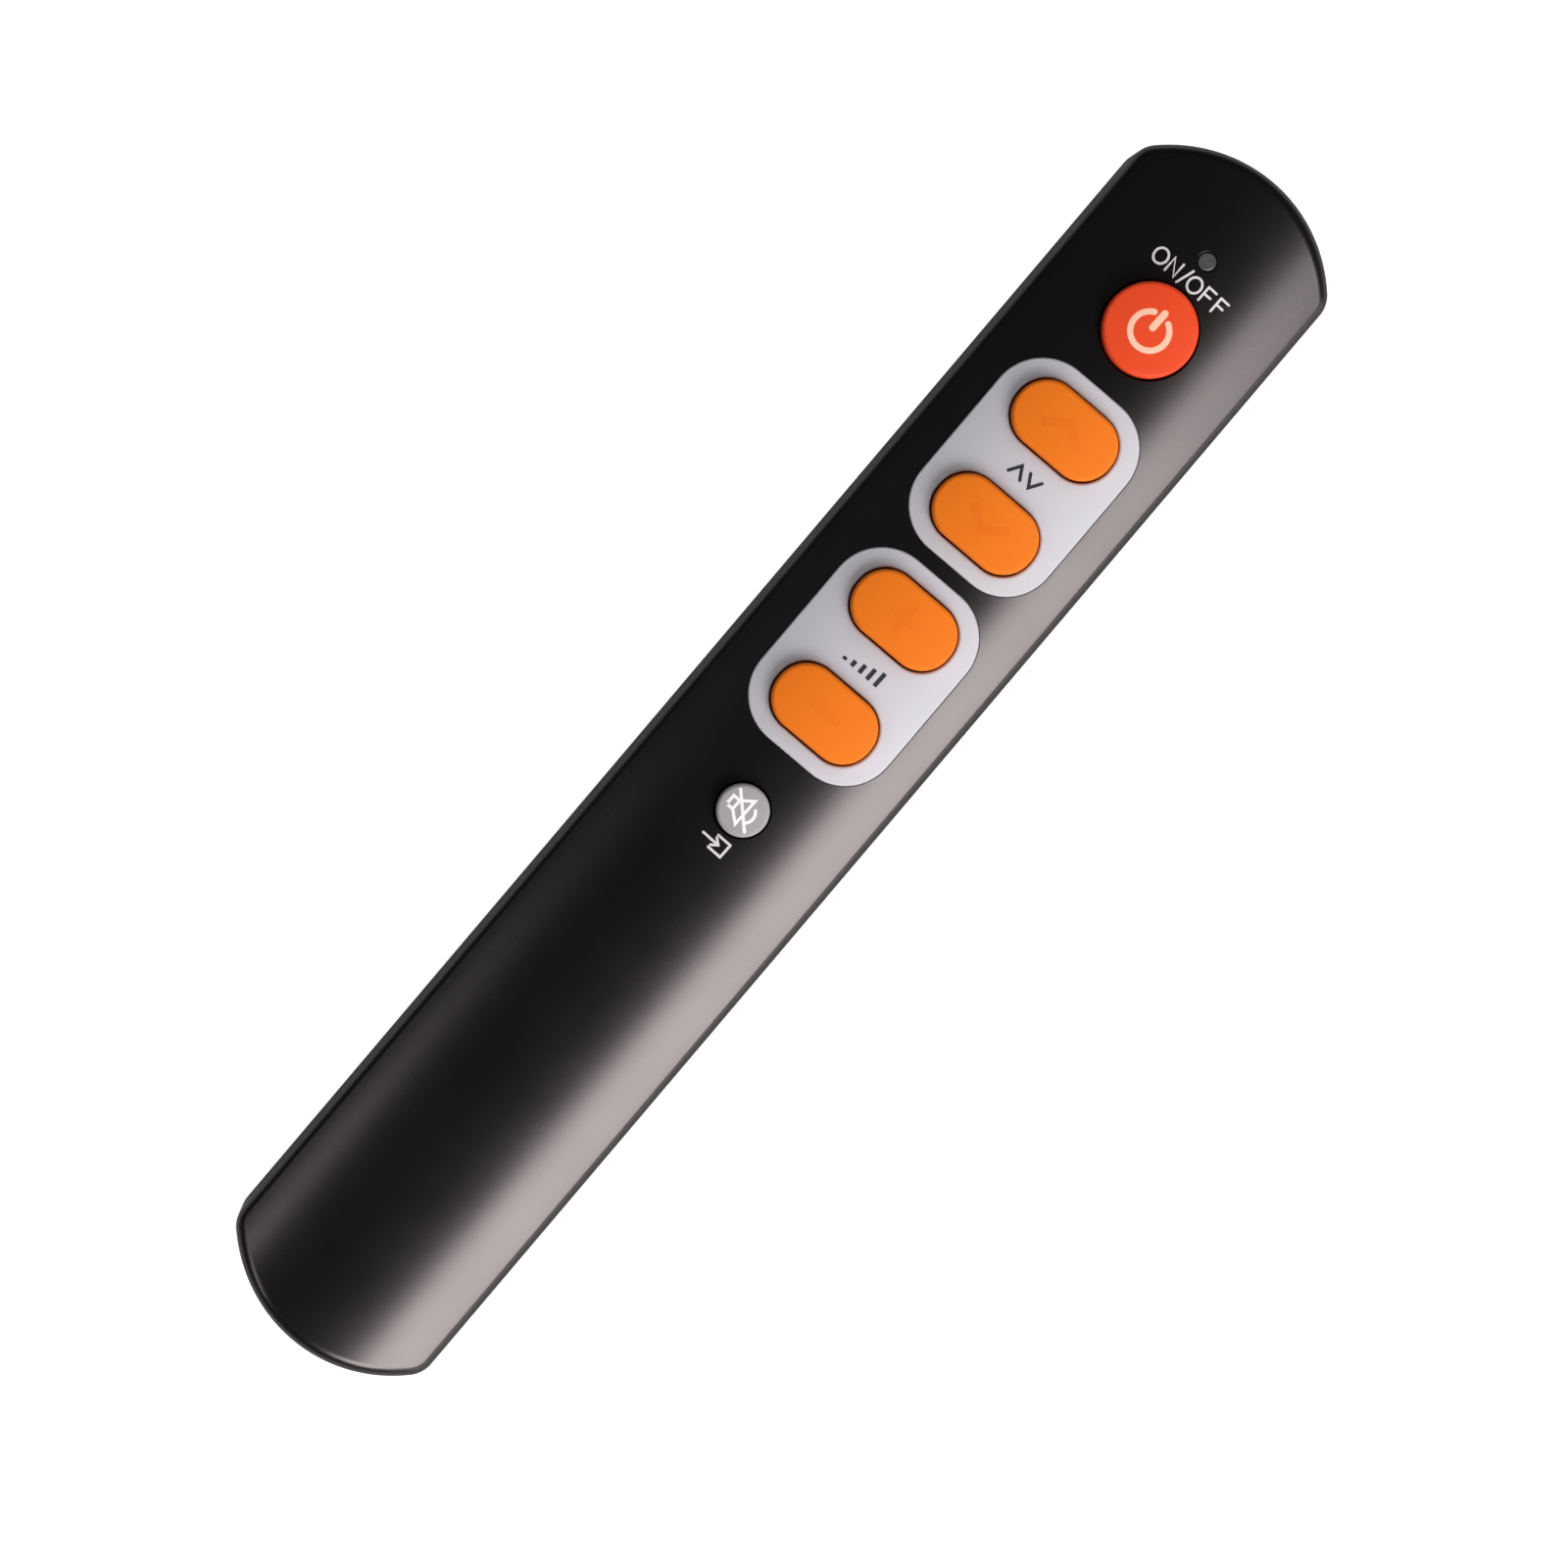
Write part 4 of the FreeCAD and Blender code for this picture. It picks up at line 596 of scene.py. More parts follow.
def stroke(path: Sequence[Sequence[float]], width: float, blunt: bool = False) -> Array:
    """Outline of a pen line: the path offset by half the width to both sides, mitred at its bends.

    Args:
        path: points of the middle line.
        width: the pen's width.
        blunt: square ends, without the half round.

    Returns:
        Closed plan line, counter-clockwise.
    """
    line = np.array(path, float)
    steps = np.diff(line, axis=0)
    steps /= np.linalg.norm(steps, axis=1, keepdims=True)
    sides = np.column_stack((-steps[:, 1], steps[:, 0]))
    joints = np.concatenate((sides[:1], sides[:-1] + sides[1:], sides[-1:]))
    joints[1:-1] /= np.maximum(0.4, 0.5 * (joints[1:-1] ** 2).sum(1, keepdims=True))
    half = width / 2
    right, left = line - half * joints, line + half * joints
    if blunt:
        return np.concatenate((right, left[::-1]))
    swing = np.linspace(-math.pi / 2, math.pi / 2, 9)[1:-1, None]
    tip = line[-1] + half * (np.cos(swing) * steps[-1] + np.sin(swing) * sides[-1])
    tail = line[0] - half * (np.cos(swing) * steps[0] + np.sin(swing) * sides[0])
    return np.concatenate((right, tip, left[::-1], tail))


def arc_line(middle: Sequence[float], radius: float, start: float, end: float, squash: float = 1.0) -> Array:
    """Points of an arc from start to end, in degrees; squash is its height over its width."""
    turns = np.radians(np.linspace(start, end, max(8, round(abs(end - start) / 8))))
    return np.array(middle) + radius * np.column_stack((np.cos(turns) / squash, np.sin(turns)))


def hoop(middle: Sequence[float], radius: float, width: float, squash: float = 1.0) -> list[Array]:
    """Full ring as two half strokes that share their ends."""
    return [stroke(arc_line(middle, radius, a, a + 180, squash), width, blunt=True) for a in (0, 180)]


class Mark(Enum):
    """What is printed or moulded on a place."""

    SWITCH = "the words on and off"
    POWER = "ring with a bar"
    MUTED = "crossed-out speaker"
    INPUT = "arrow into a frame"
    STEPS = "two small arrowheads"
    LOUDNESS = "bars that grow"
    UP = "arrowhead up"
    DOWN = "arrowhead down"
    PLUS = "plus"
    MINUS = "minus"


def drawn(width: float, *paths: Sequence[Sequence[float]], blunt: bool = False) -> list[Array]:
    """Outlines of pen lines of one width along the paths."""
    return [stroke(path, width, blunt) for path in paths]


# Plan shapes of each mark about the origin; capitals are 2.2 high and the ring is 5.2 across, pen and all.
MARKS: dict[Mark, list[Array]] = {
    Mark.SWITCH: [
        *(shape for x in (-4.35, 0.72) for shape in hoop((x, 0), 0.94, 0.28, 1.12)),
        *drawn(0.28, ((-3.0, -0.94), (-3.0, 0.94), (-1.75, -0.94), (-1.75, 0.94)), ((-1.1, -1.1), (-0.42, 1.1))),
        *(shape for x in (2.1, 4.0)
          for shape in drawn(0.28, ((x, -0.94), (x, 0.94), (x + 1.15, 0.94)), ((x, 0.05), (x + 0.95, 0.05)))),
    ],
    Mark.POWER: [*drawn(0.7, arc_line((0, -0.2), 2.23, 118, 422)), *drawn(0.82, ((0, 0.3), (0, 2.4)))],
    Mark.MUTED: drawn(
        0.37, ((-1.95, -0.62), (-1.95, 0.62), (-1.05, 0.62), (-1.05, -0.62), (-1.95, -0.62)),
        ((-1.05, 0.62), (0.3, 1.7), (0.3, -1.7), (-1.05, -0.62)), ((-1.85, 1.65), (1.7, -1.7)),
        arc_line((0.2, 0), 1.25, -48, 48),
    ),
    Mark.INPUT: drawn(0.3, ((-0.2, 0.88), (1.6, 0.88), (1.6, -0.88), (-0.2, -0.88)), ((-1.7, 0), (0.55, 0)),
                      ((-0.15, 0.55), (0.55, 0), (-0.15, -0.55))),
    Mark.STEPS: drawn(0.38, ((-1.95, -0.7), (-1.08, 0.7), (-0.21, -0.7)), ((0.21, 0.7), (1.08, -0.7), (1.95, 0.7))),
    Mark.LOUDNESS: [stroke(((x, -0.95), (x, -0.95 + 0.38 * (n + 1))), 0.52, blunt=True)
                    for n, x in enumerate(np.linspace(-2.3, 2.3, 5))],
    Mark.UP: drawn(1.0, ((-2.6, -1.0), (0, 1.0), (2.6, -1.0)), blunt=True),
    Mark.PLUS: drawn(0.9, ((-2.0, 0), (2.0, 0)), ((0, -2.0), (0, 2.0)), blunt=True),
    Mark.MINUS: drawn(0.9, ((-2.0, 0), (2.0, 0)), blunt=True),
}
MARKS[Mark.DOWN] = [-shape for shape in MARKS[Mark.UP]]


# ---- finishes ----

NOISE_BAND = (0.3, 0.7)


class Wiring:
    """Short calls that add nodes to a node tree."""

    def __init__(self, tree: bpy.types.NodeTree) -> None:
        """Keep the tree's nodes and links."""
        self.nodes, self.links = tree.nodes, tree.links

    def feed(self, node: bpy.types.Node, values: dict[str | int, Value]) -> None:
        """Fill a node's inputs, each with a link to a socket or with a constant.

        Args:
            node: node to fill.
            values: value of each input; a colour goes without its fourth part, which is 1.
        """
        for name, value in values.items():
            socket = node.inputs[name]
            if isinstance(value, Socket):
                self.links.new(value, socket)
            elif isinstance(value, tuple):
                socket.default_value = (*value, 1)[:len(socket.default_value)]
            else:
                socket.default_value = value

    def add(self, kind: str, values: dict[str | int, Value] | None = None, **traits: str | int) -> bpy.types.Node:
        """New shader node.

        Args:
            kind: its type, without the words that all types begin with.
            values: value of each input to fill.
            traits: settings of the node.

        Returns:
            The node.
        """
        node = self.nodes.new("ShaderNode" + kind)
        for trait, setting in traits.items():
            setattr(node, trait, setting)
        self.feed(node, values or {})
        return node

    def math(self, operation: str, first: Socket | float, second: Socket | float = 0.0) -> Socket:
        """Result of a math node."""
        return self.add("Math", {0: first, 1: second}, operation=operation).outputs["Value"]

    def mix(self, share: Socket, first: Socket | Colour, second: Socket | Colour) -> Socket:
        """Blend of two colours: the first at share 0, the second at 1."""
        return self.add("Mix", {"Factor": share, "A": first, "B": second}, data_type="RGBA").outputs["Result"]

    def parts(self, vector: Socket) -> tuple[Socket, ...]:
        """The three parts of a vector."""
        return tuple(self.add("SeparateXYZ", {"Vector": vector}).outputs)

    def noise(self, place: Socket, size: float, detail: float) -> Socket:
        """Noise over a place, with blobs size millimetres wide and a number of finer octaves."""
        return self.add("TexNoise", {"Scale": 1 / (size * MM), "Detail": detail, "Vector": place}).outputs["Fac"]

    def eased(self, value: Socket, ends: Four) -> Socket:
        """Smooth step from one range to another.

        Args:
            value: what is stepped.
            ends: both ends of its range, then both ends of the result's.

        Returns:
            The result.
        """
        names = ("From Min", "From Max", "To Min", "To Max")
        values = dict(zip(names, ends)) | {"Value": value}
        return self.add("MapRange", values, interpolation_type="SMOOTHSTEP").outputs["Result"]


@dataclass(frozen=True)
class Finish:
    """Moulded plastic, rubber, paint or metal with a fine grain, cloudy roughness and slight colour drift.

    The grain is a bump from fine noise on the object's own coordinates. Roughness swings about its middle
    with a coarser noise, and the colour drifts towards a second one with a coarse cloud.
    """

    name: str
    colour: Colour
    drift: Colour
    roughness: float = 0.5
    swing: float = 0.06
    metallic: float = 0.0
    specular: float = 0.5
    grain: float = 0.25
    bump: float = 0.15
    depth: float = 0.00002
    cloud: float = 12.0
    coat: float = 0.0
    coat_roughness: float = 0.1
    tint: Colour = (1.0, 1.0, 1.0)
    stretch: Triple = (1.0, 1.0, 1.0)

    def material(self) -> bpy.types.Material:
        """The finish as a node material, made once; its name differs from those that came with the frame.

        Returns:
            The material.
        """
        title = self.name + "_finish"
        if title in bpy.data.materials:
            return bpy.data.materials[title]
        made = bpy.data.materials.new(title)
        made.use_nodes = True
        wiring = Wiring(made.node_tree)
        shader = wiring.nodes["Principled BSDF"]
        place = wiring.add("TexCoord").outputs["Object"]
        stretched = wiring.add("Mapping", {"Scale": self.stretch, "Vector": place}).outputs["Vector"]
        clouds = wiring.noise(stretched, self.cloud, 3.0)
        grains = wiring.noise(stretched, self.grain, 2.0)
        self.pattern(wiring, place, wiring.mix(clouds, self.colour, self.drift), shader)
        limits = (max(0.0, self.roughness - self.swing), min(1.0, self.roughness + self.swing))
        relief = wiring.add("Bump", {"Strength": self.bump, "Distance": self.depth, "Height": grains})
        wiring.feed(shader, {
            "Roughness": wiring.eased(clouds, (*NOISE_BAND, *limits)), "Normal": relief.outputs["Normal"],
            "Metallic": self.metallic, "Specular IOR Level": self.specular, "Specular Tint": self.tint,
            "Coat Weight": self.coat, "Coat Roughness": self.coat_roughness,
        })
        return made

    def pattern(self, wiring: Wiring, place: Socket, colour: Socket, shader: bpy.types.Node) -> None:
        """Send the colour to the shader; a finish with a pattern does more here."""
        wiring.feed(shader, {"Base Color": colour})


@dataclass(frozen=True)
class Sleeve(Finish):
    """Cell sleeve: plain colour, a second one on the positive third, a pale line between, bare metal ends.

    The ends are all that lies nearer than bare to the cell's axis, which runs along Y.
    """

    second: Colour = (0.012, 0.10, 0.24)
    line: Colour = (0.75, 0.75, 0.75)
    metal: Colour = (0.66, 0.65, 0.62)
    axis: Pair = (5.35, 7.1)
    bare: float = 4.6
    line_half: float = 0.35
    split: float = -43.2
    forward: bool = True

    def pattern(self, wiring: Wiring, place: Socket, colour: Socket, shader: bpy.types.Node) -> None:
        """Compare the place along Y with the split, and the distance from the axis with the bare radius.

        Args:
            wiring: the material's nodes.
            place: the object's own coordinates.
            colour: colour without the pattern.
            shader: node that takes the colour.
        """
        x, y, z = wiring.parts(place)
        positive = wiring.math("GREATER_THAN" if self.forward else "LESS_THAN", y, self.split * MM)
        printed = wiring.mix(positive, colour, self.second)
        beside = wiring.math("ABSOLUTE", wiring.math("SUBTRACT", y, self.split * MM))
        printed = wiring.mix(wiring.math("LESS_THAN", beside, self.line_half * MM), printed, self.line)
        offsets = [wiring.math("SUBTRACT", part, middle * MM) for part, middle in zip((x, z), self.axis)]
        square = wiring.math("ADD", *(wiring.math("POWER", offset, 2.0) for offset in offsets))
        end = wiring.math("LESS_THAN", square, (self.bare * MM) ** 2)
        wiring.feed(shader, {"Base Color": wiring.mix(end, printed, self.metal), "Metallic": end})


@dataclass(frozen=True)
class Arrowed(Finish):
    """Case plastic with a grey arrowhead on its outside that shows which way the door slides.

    A point is on the arrowhead where its distance from the middle line is less than the arrowhead's
    half width there, which grows from 0 at the tip to half at the base, and it lies lower than skin.
    """

    paint: Colour = (0.16, 0.16, 0.165)
    tip: float = -46.6
    base: float = -43.0
    half: float = 2.7
    skin: float = 0.3

    def pattern(self, wiring: Wiring, place: Socket, colour: Socket, shader: bpy.types.Node) -> None:
        """Mix in the paint where the three tests hold.

        Args:
            wiring: the material's nodes.
            place: the object's own coordinates.
            colour: colour without the pattern.
            shader: node that takes the colour.
        """
        x, y, z = wiring.parts(place)
        slope = self.half / (self.base - self.tip)
        width = wiring.math("MULTIPLY", wiring.math("SUBTRACT", y, self.tip * MM), slope)
        inside = wiring.math("GREATER_THAN", width, wiring.math("ABSOLUTE", x))
        before = wiring.math("LESS_THAN", y, self.base * MM)
        outside = wiring.math("LESS_THAN", z, self.skin * MM)
        share = wiring.math("MULTIPLY", wiring.math("MULTIPLY", inside, before), outside)
        wiring.feed(shader, {"Base Color": wiring.mix(share, colour, self.paint)})


def rubber(name: str, colour: Colour, drift: Colour, roughness: float, specular: float, cloud: float,
           bump: float = 0.12) -> Finish:
    """Satin silicone rubber.

    Args:
        name: the finish's name.
        colour: main colour.
        drift: colour that the clouds mix in.
        roughness: middle of the roughness.
        specular: strength of its gloss.
        cloud: width of the clouds in millimetres.
        bump: strength of the grain.

    Returns:
        The finish.
    """
    return Finish(name, colour, drift, roughness, 0.05, specular=specular, grain=0.22, bump=bump, depth=0.00001,
                  cloud=cloud)


def ink(name: str, colour: Colour, drift: Colour) -> Finish:
    """Printed ink of one colour with a slight drift."""
    return Finish(name, colour, drift, 0.5, 0.05, grain=0.12, bump=0.1, cloud=1.5)


CASE_BLACK = Finish("case_black", (0.0036, 0.0033, 0.0035), (0.0048, 0.0043, 0.0045), 0.27, 0.008,
                    specular=0.8, grain=0.3, bump=0.25, depth=0.00001, cloud=9.0, tint=(1.0, 0.925, 0.93))
DOOR_BLACK = Arrowed(**(asdict(CASE_BLACK) | {"name": "door_black"}))
SILVER_PAINT = Finish("silver_paint", (0.50, 0.505, 0.545), (0.53, 0.535, 0.57), 0.5, 0.05,
                      grain=0.16, bump=0.12, depth=0.00001, cloud=7.0)
ORANGE_RUBBER = rubber("orange_rubber", (0.79, 0.176, 0.0095), (0.82, 0.191, 0.0125), 0.6, 0.15, 6.0)
ORANGE_MARK = rubber("orange_mark", (0.762, 0.157, 0.0092), (0.792, 0.172, 0.0115), 0.6, 0.15, 3.0, 0.1)
ORANGE_FAINT = rubber("orange_faint", (0.772, 0.163, 0.0093), (0.802, 0.178, 0.0118), 0.6, 0.15, 3.0, 0.1)
RED_RUBBER = rubber("red_rubber", (0.76, 0.062, 0.013), (0.80, 0.072, 0.018), 0.55, 0.25, 5.0)
GREY_RUBBER = rubber("grey_rubber", (0.335, 0.325, 0.33), (0.365, 0.355, 0.36), 0.55, 0.3, 3.0)
WHITE_INK = ink("white_ink", (0.64, 0.62, 0.62), (0.70, 0.68, 0.68))
BRIGHT_INK = ink("bright_ink", (0.86, 0.86, 0.86), (0.92, 0.92, 0.92))
PALE_INK = ink("pale_ink", (0.97, 0.55, 0.38), (1.0, 0.60, 0.43))
NAVY_INK = ink("navy_ink", (0.012, 0.014, 0.026), (0.018, 0.02, 0.034))
SMOKE_LENS = Finish("smoke_lens", (0.065, 0.063, 0.07), (0.085, 0.082, 0.09), 0.3, 0.08,
                    grain=0.2, bump=0.1, depth=0.00001, cloud=1.0)
DARK_WINDOW = Finish("dark_window", (0.022, 0.002, 0.005), (0.03, 0.003, 0.008), 0.13, 0.03,
                     grain=1.5, bump=0.05, depth=0.00001, cloud=6.0, coat=0.2)
MAT_RUBBER = Finish("mat_rubber", (0.22, 0.22, 0.225), (0.28, 0.28, 0.28), 0.62, 0.06, grain=0.3, bump=0.2, cloud=5.0)
CARBON_RUBBER = Finish("carbon_rubber", (0.015, 0.015, 0.016), (0.03, 0.03, 0.03), 0.7, 0.08, grain=0.15, cloud=1.0)
SOLDER_MASK = Finish("solder_mask", (0.012, 0.11, 0.04), (0.02, 0.16, 0.06), 0.35, 0.06,
                     grain=0.4, bump=0.15, cloud=1.8, stretch=(2.2, 0.35, 1.0))
GILT = Finish("gilt", (0.85, 0.6, 0.25), (0.8, 0.52, 0.2), 0.3, 0.08, metallic=1.0, grain=0.1, cloud=1.0)
CLEAR_BLUE = Finish("clear_blue_epoxy", (0.42, 0.47, 0.72), (0.5, 0.55, 0.8), 0.12, 0.04, cloud=2.0, coat=0.6)
DARK_EPOXY = Finish("dark_epoxy", (0.012, 0.011, 0.018), (0.02, 0.018, 0.03), 0.15, 0.05, cloud=2.0, coat=0.5)
RED_EPOXY = Finish("red_epoxy", (0.5, 0.06, 0.04), (0.6, 0.1, 0.07), 0.25, 0.05, cloud=0.8, coat=0.4)
CHIP_EPOXY = Finish("chip_epoxy", (0.014, 0.014, 0.014), (0.024, 0.024, 0.024), 0.62, 0.08,
                    grain=0.08, bump=0.3, cloud=1.2)
TIN = Finish("tin", (0.62, 0.62, 0.6), (0.7, 0.7, 0.69), 0.34, 0.1, metallic=1.0, grain=0.25, cloud=0.8)
CAN_STEEL = Finish("can_steel", (0.62, 0.61, 0.58), (0.7, 0.69, 0.66), 0.24, 0.06, metallic=1.0, cloud=3.0,
                   grain=0.1, stretch=(1.0, 0.15, 1.0))
BLUE_SLEEVE = Finish("blue_sleeve", (0.012, 0.03, 0.12), (0.02, 0.045, 0.16), 0.3, 0.06, cloud=2.0, coat=0.5)
CERAMIC_COAT = Finish("ceramic_coat", (0.02, 0.02, 0.022), (0.035, 0.035, 0.035), 0.45, 0.08, grain=0.08, cloud=0.6)
NICKEL = Finish("nickel", (0.66, 0.63, 0.57), (0.74, 0.71, 0.65), 0.25, 0.08, metallic=1.0, grain=0.12, cloud=2.0,
                stretch=(1.0, 1.0, 0.25))
ZINC = Finish("zinc", (0.45, 0.46, 0.48), (0.56, 0.56, 0.57), 0.3, 0.1, metallic=1.0, grain=0.15, cloud=1.0)
CELL_RIGHT = Sleeve("cell_sleeve_right", (0.40, 0.41, 0.42), (0.44, 0.45, 0.46), 0.28, 0.05, cloud=6.0, coat=0.6)
CELL_LEFT = replace(CELL_RIGHT, name="cell_sleeve_left", axis=(-5.35, 7.1), split=-62.2, forward=False)


def dress(piece: bpy.types.Object, *finishes: Finish) -> bpy.types.Object:
    """Give an object finishes in place of what it had.

    Args:
        piece: the object.
        finishes: its finishes in order.

    Returns:
        The object.
    """
    piece.data.materials.clear()
    for finish in finishes:
        piece.data.materials.append(finish.material())
    return piece


def settle(piece: bpy.types.Object, body: str, finish: Finish,
           replaced: Sequence[str] = ()) -> bpy.types.Object:
    """Dress a new piece, let it ride on its body and report it.

    Args:
        piece: the new object.
        body: CAD body that it moves with.
        finish: its finish.
        replaced: CAD nodes that it stands for.

    Returns:
        The piece.
    """
    dress(piece, finish)
    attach(piece, body)
    if replaced:
        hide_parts(*replaced)
    LOG.info("%s: %d faces, rides on %s", piece.name, len(piece.data.polygons), body)
    return piece


def dress_node(node: str, finish: Finish) -> None:
    """Give a carried-over CAD node its finish and report it."""
    dress(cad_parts[node], finish)
    LOG.info("%s: %s", node, finish.name)


# ---- the remote ----


@dataclass
class Layout:
    """Where things lie along the case and how large the openings are."""

    power_y: float = 64.1
    mute_y: float = -7.2
    lens_y: float = 74.25
    panel_y: dict[str, float] = field(default_factory=lambda: {"channel": 42.25, "volume": 14.1})
    pitch: float = 13.9
    power_radius: float = 5.5
    mute_radius: float = 3.05
    lens_hole: float = 1.2
    oval_half: Pair = (6.65, 4.0)
    oval_corner: float = 3.85
    panel_half: Pair = (9.45, 13.15)
    panel_corner: float = 6.3
    key_gap: float = 0.3
    crown: Crown = Crown(32.0)
    inner_crown: Crown = Crown(30.2)
    seat_crown: Crown = Crown(31.4)
    panel_back: Crown = Crown(31.45)
    panel_crown: Crown = Crown(32.2)
    key_crown: Crown = Crown(33.6)

    def oval_y(self, panel: str, direction: int) -> float:
        """Centre of a panel's upper (1) or lower (-1) key."""
        return self.panel_y[panel] + direction * self.pitch / 2

    def oval(self, y: float, grow: float = 0.0, hole: bool = False) -> BoxOutline:
        """Oval key's plan line, grown by a distance."""
        half = (self.oval_half[0] + grow, self.oval_half[1] + grow)
        return BoxOutline((0, y), half, self.oval_corner + grow, hole=hole, step=1.0)

    def round_holes(self) -> list[Outline]:
        """Openings of the power key and the mute key, wider than the keys by the gap."""
        places = ((self.power_y, self.power_radius), (self.mute_y, self.mute_radius))
        return [RoundOutline((0, y), radius + self.key_gap, 72, hole=True) for y, radius in places]

    def panel(self, y: float, grow: float = 0.0, hole: bool = False) -> BoxOutline:
        """Panel's plan line, grown by a distance."""
        half = (self.panel_half[0] + grow, self.panel_half[1] + grow)
        return BoxOutline((0, y), half, self.panel_corner + grow, hole=hole, fine=18)

    def ovals(self) -> list[float]:
        """Centres of the four oval keys."""
        return [self.oval_y(panel, direction) for panel in self.panel_y for direction in (1, -1)]


@dataclass
class FrontCover:
    """Crowned front with openings, seats, guide collars, screw bosses and hold-down ribs."""

    layout: Layout
    wall: float = 1.6
    rim: float = 1.6
    seam: float = 8.6
    groove: float = 0.3
    rebate: float = 0.8
    rebate_top: float = 9.9
    window_top: float = 13.6
    band: float = 0.4
    lip: float = 0.07
    seat_gap: float = 0.02
    collar_wall: float = 1.0
    collar_bottom: float = 13.1
    boss_radius: float = 1.55
    pilot_radius: float = 0.85
    boss_bottom: float = 10.25
    pilot_top: float = 14.8
    boss_top: float = 16.9
    screw_places: tuple[float, ...] = (55.9, -17.5)
    rib_places: tuple[float, ...] = (55.9, 28.175, -0.025)
    rib_box: Four = (11.2, 13.2, 11.25, 13.9)
    rib_half: float = 1.5
    rib_corner: float = 0.2

    def build(self) -> bpy.types.Object:
        """Make the cover and dress it.

        Returns:
            The cover.
        """
        made = Surface()
        case = CaseOutline()
        self.skin(made, case)
        openings = self.openings(made)
        collars = self.collars(made)
        lens = RoundOutline((0, self.layout.lens_y), self.layout.lens_hole, 32, hole=True)
        edge = made.wall(lens, self.layout.inner_crown, self.layout.crown, self.lip, 3)
        made.plate(self.rim_edge, [*openings, edge], self.layout.crown)
        made.plate(case.ring(self.wall), [*collars, lens.ring()], self.layout.inner_crown, down=True)
        self.islands(made)
        return settle(made.build("front_cover"), "case", CASE_BLACK, ["front_shell"])

    def skin(self, made: Surface, case: CaseOutline) -> None:
        """Outer wall, rolled rim, inner wall and the stepped lower edge, notched for the window.

        The walls are the case's plan line at an inset, from one height to the next. Over the window they
        begin at its top, and two faces across the wall close the notch.

        Args:
            made: mesh to add to.
            case: the case's plan line.
        """
        notch = case.over_window()
        inner = self.layout.inner_crown.height(case.ring(self.wall))
        top, self.rim_edge = made.roll(case, self.layout.crown, self.rim, 9)
        beside = notch | np.roll(notch, 1)
        level = np.where(beside, self.window_top, np.minimum(self.window_top, inner - self.band))
        low = self.seam + self.groove
        made.strip(case, (0, low), (0, level), ~notch)
        made.strip(case, (0, level), (0, top))
        made.strip(case, (self.wall, inner), (self.wall, level))
        made.strip(case, (self.wall, level), (self.wall, self.rebate_top), ~notch)
        made.strip(case, (self.wall, self.window_top), (0, self.window_top), notch)
        steps = ((self.wall, self.rebate_top), (self.rebate, self.rebate_top), (self.rebate, self.seam),
                 (self.groove, self.seam), (self.groove, low), (0, low))
        for start, end in zip(steps[:-1], steps[1:]):
            made.strip(case, start, end, ~notch)
        ring = case.ring()
        for side in (1, -1):
            away = np.where(ring[:, 1] > 0, np.abs(ring[:, 0] - side * case.window_half), np.inf)
            at = int(np.argmin(away))
            profile = [*steps, (0, self.window_top), (self.wall, self.window_top)]
            corners = np.array([(*case.ring(inset)[at], z) for inset, z in profile])
            made.polygon(corners[::-side], (-side, 0, 0))

    def openings(self, made: Surface) -> list[Array]:
        """Add the round key openings, and the two panel seats with their keys' openings.

        Args:
            made: mesh to add to.

        Returns:
            Plan lines of the openings on the crown.
        """
        layout = self.layout
        lines = []
        for hole in layout.round_holes():
            lines.append(made.wall(hole, Level(self.collar_bottom), layout.crown, self.lip, 3))
        for panel, y in layout.panel_y.items():
            seat = layout.panel(y, self.seat_gap, hole=True)
            lines.append(made.wall(seat, layout.seat_crown, layout.crown, self.lip, 3))
            keys = [layout.oval(layout.oval_y(panel, way), layout.key_gap, hole=True) for way in (1, -1)]
            made.plate(seat.ring(), [key.ring() for key in keys], layout.seat_crown)
            for key in keys:
                made.strip(key, (0, self.collar_bottom), (0, layout.seat_crown.height(key.ring())))
        return lines

    def collars(self, made: Surface) -> list[Array]:
        """Add a guide collar around each key inside the cover.

        Args:
            made: mesh to add to.

        Returns:
            The collars' outer plan lines.
        """
        layout = self.layout
        wall, bottom = self.collar_wall, self.collar_bottom
        lines = []
        for hole in [*layout.round_holes(), *(layout.oval(y, layout.key_gap, hole=True) for y in layout.ovals())]:
            outer = hole.ring(wall)
            made.strip(hole, (wall, bottom), (0, bottom))
            made.strip(hole, (wall, layout.inner_crown.height(outer)), (wall, bottom))
            lines.append(outer)
        return lines

    def islands(self, made: Surface) -> None:
        """Screw bosses with their pilot holes, and ribs that hold the board down; both end inside the wall.

        Args:
            made: mesh to add to.
        """
        for y in self.screw_places:
            profile = np.array((
                (0, self.boss_top), (self.boss_radius, self.boss_top), (self.boss_radius, self.boss_bottom),
                (self.pilot_radius, self.boss_bottom), (self.pilot_radius, self.pilot_top), (0, self.pilot_top),
            ))
            made.turned(y, profile[::-1], 36)
        near, far, low, high = self.rib_box
        for y in self.rib_places:
            for side in (1, -1):
                middle = side * (near + far) / 2
                block = BoxOutline((middle, y), ((far - near) / 2, self.rib_half), self.rib_corner, 4, 2.0)
                made.strip(block, (0, low), (0, high))
                made.plate(block.ring(), [], Level(high))
                made.plate(block.ring(), [], Level(low), down=True)


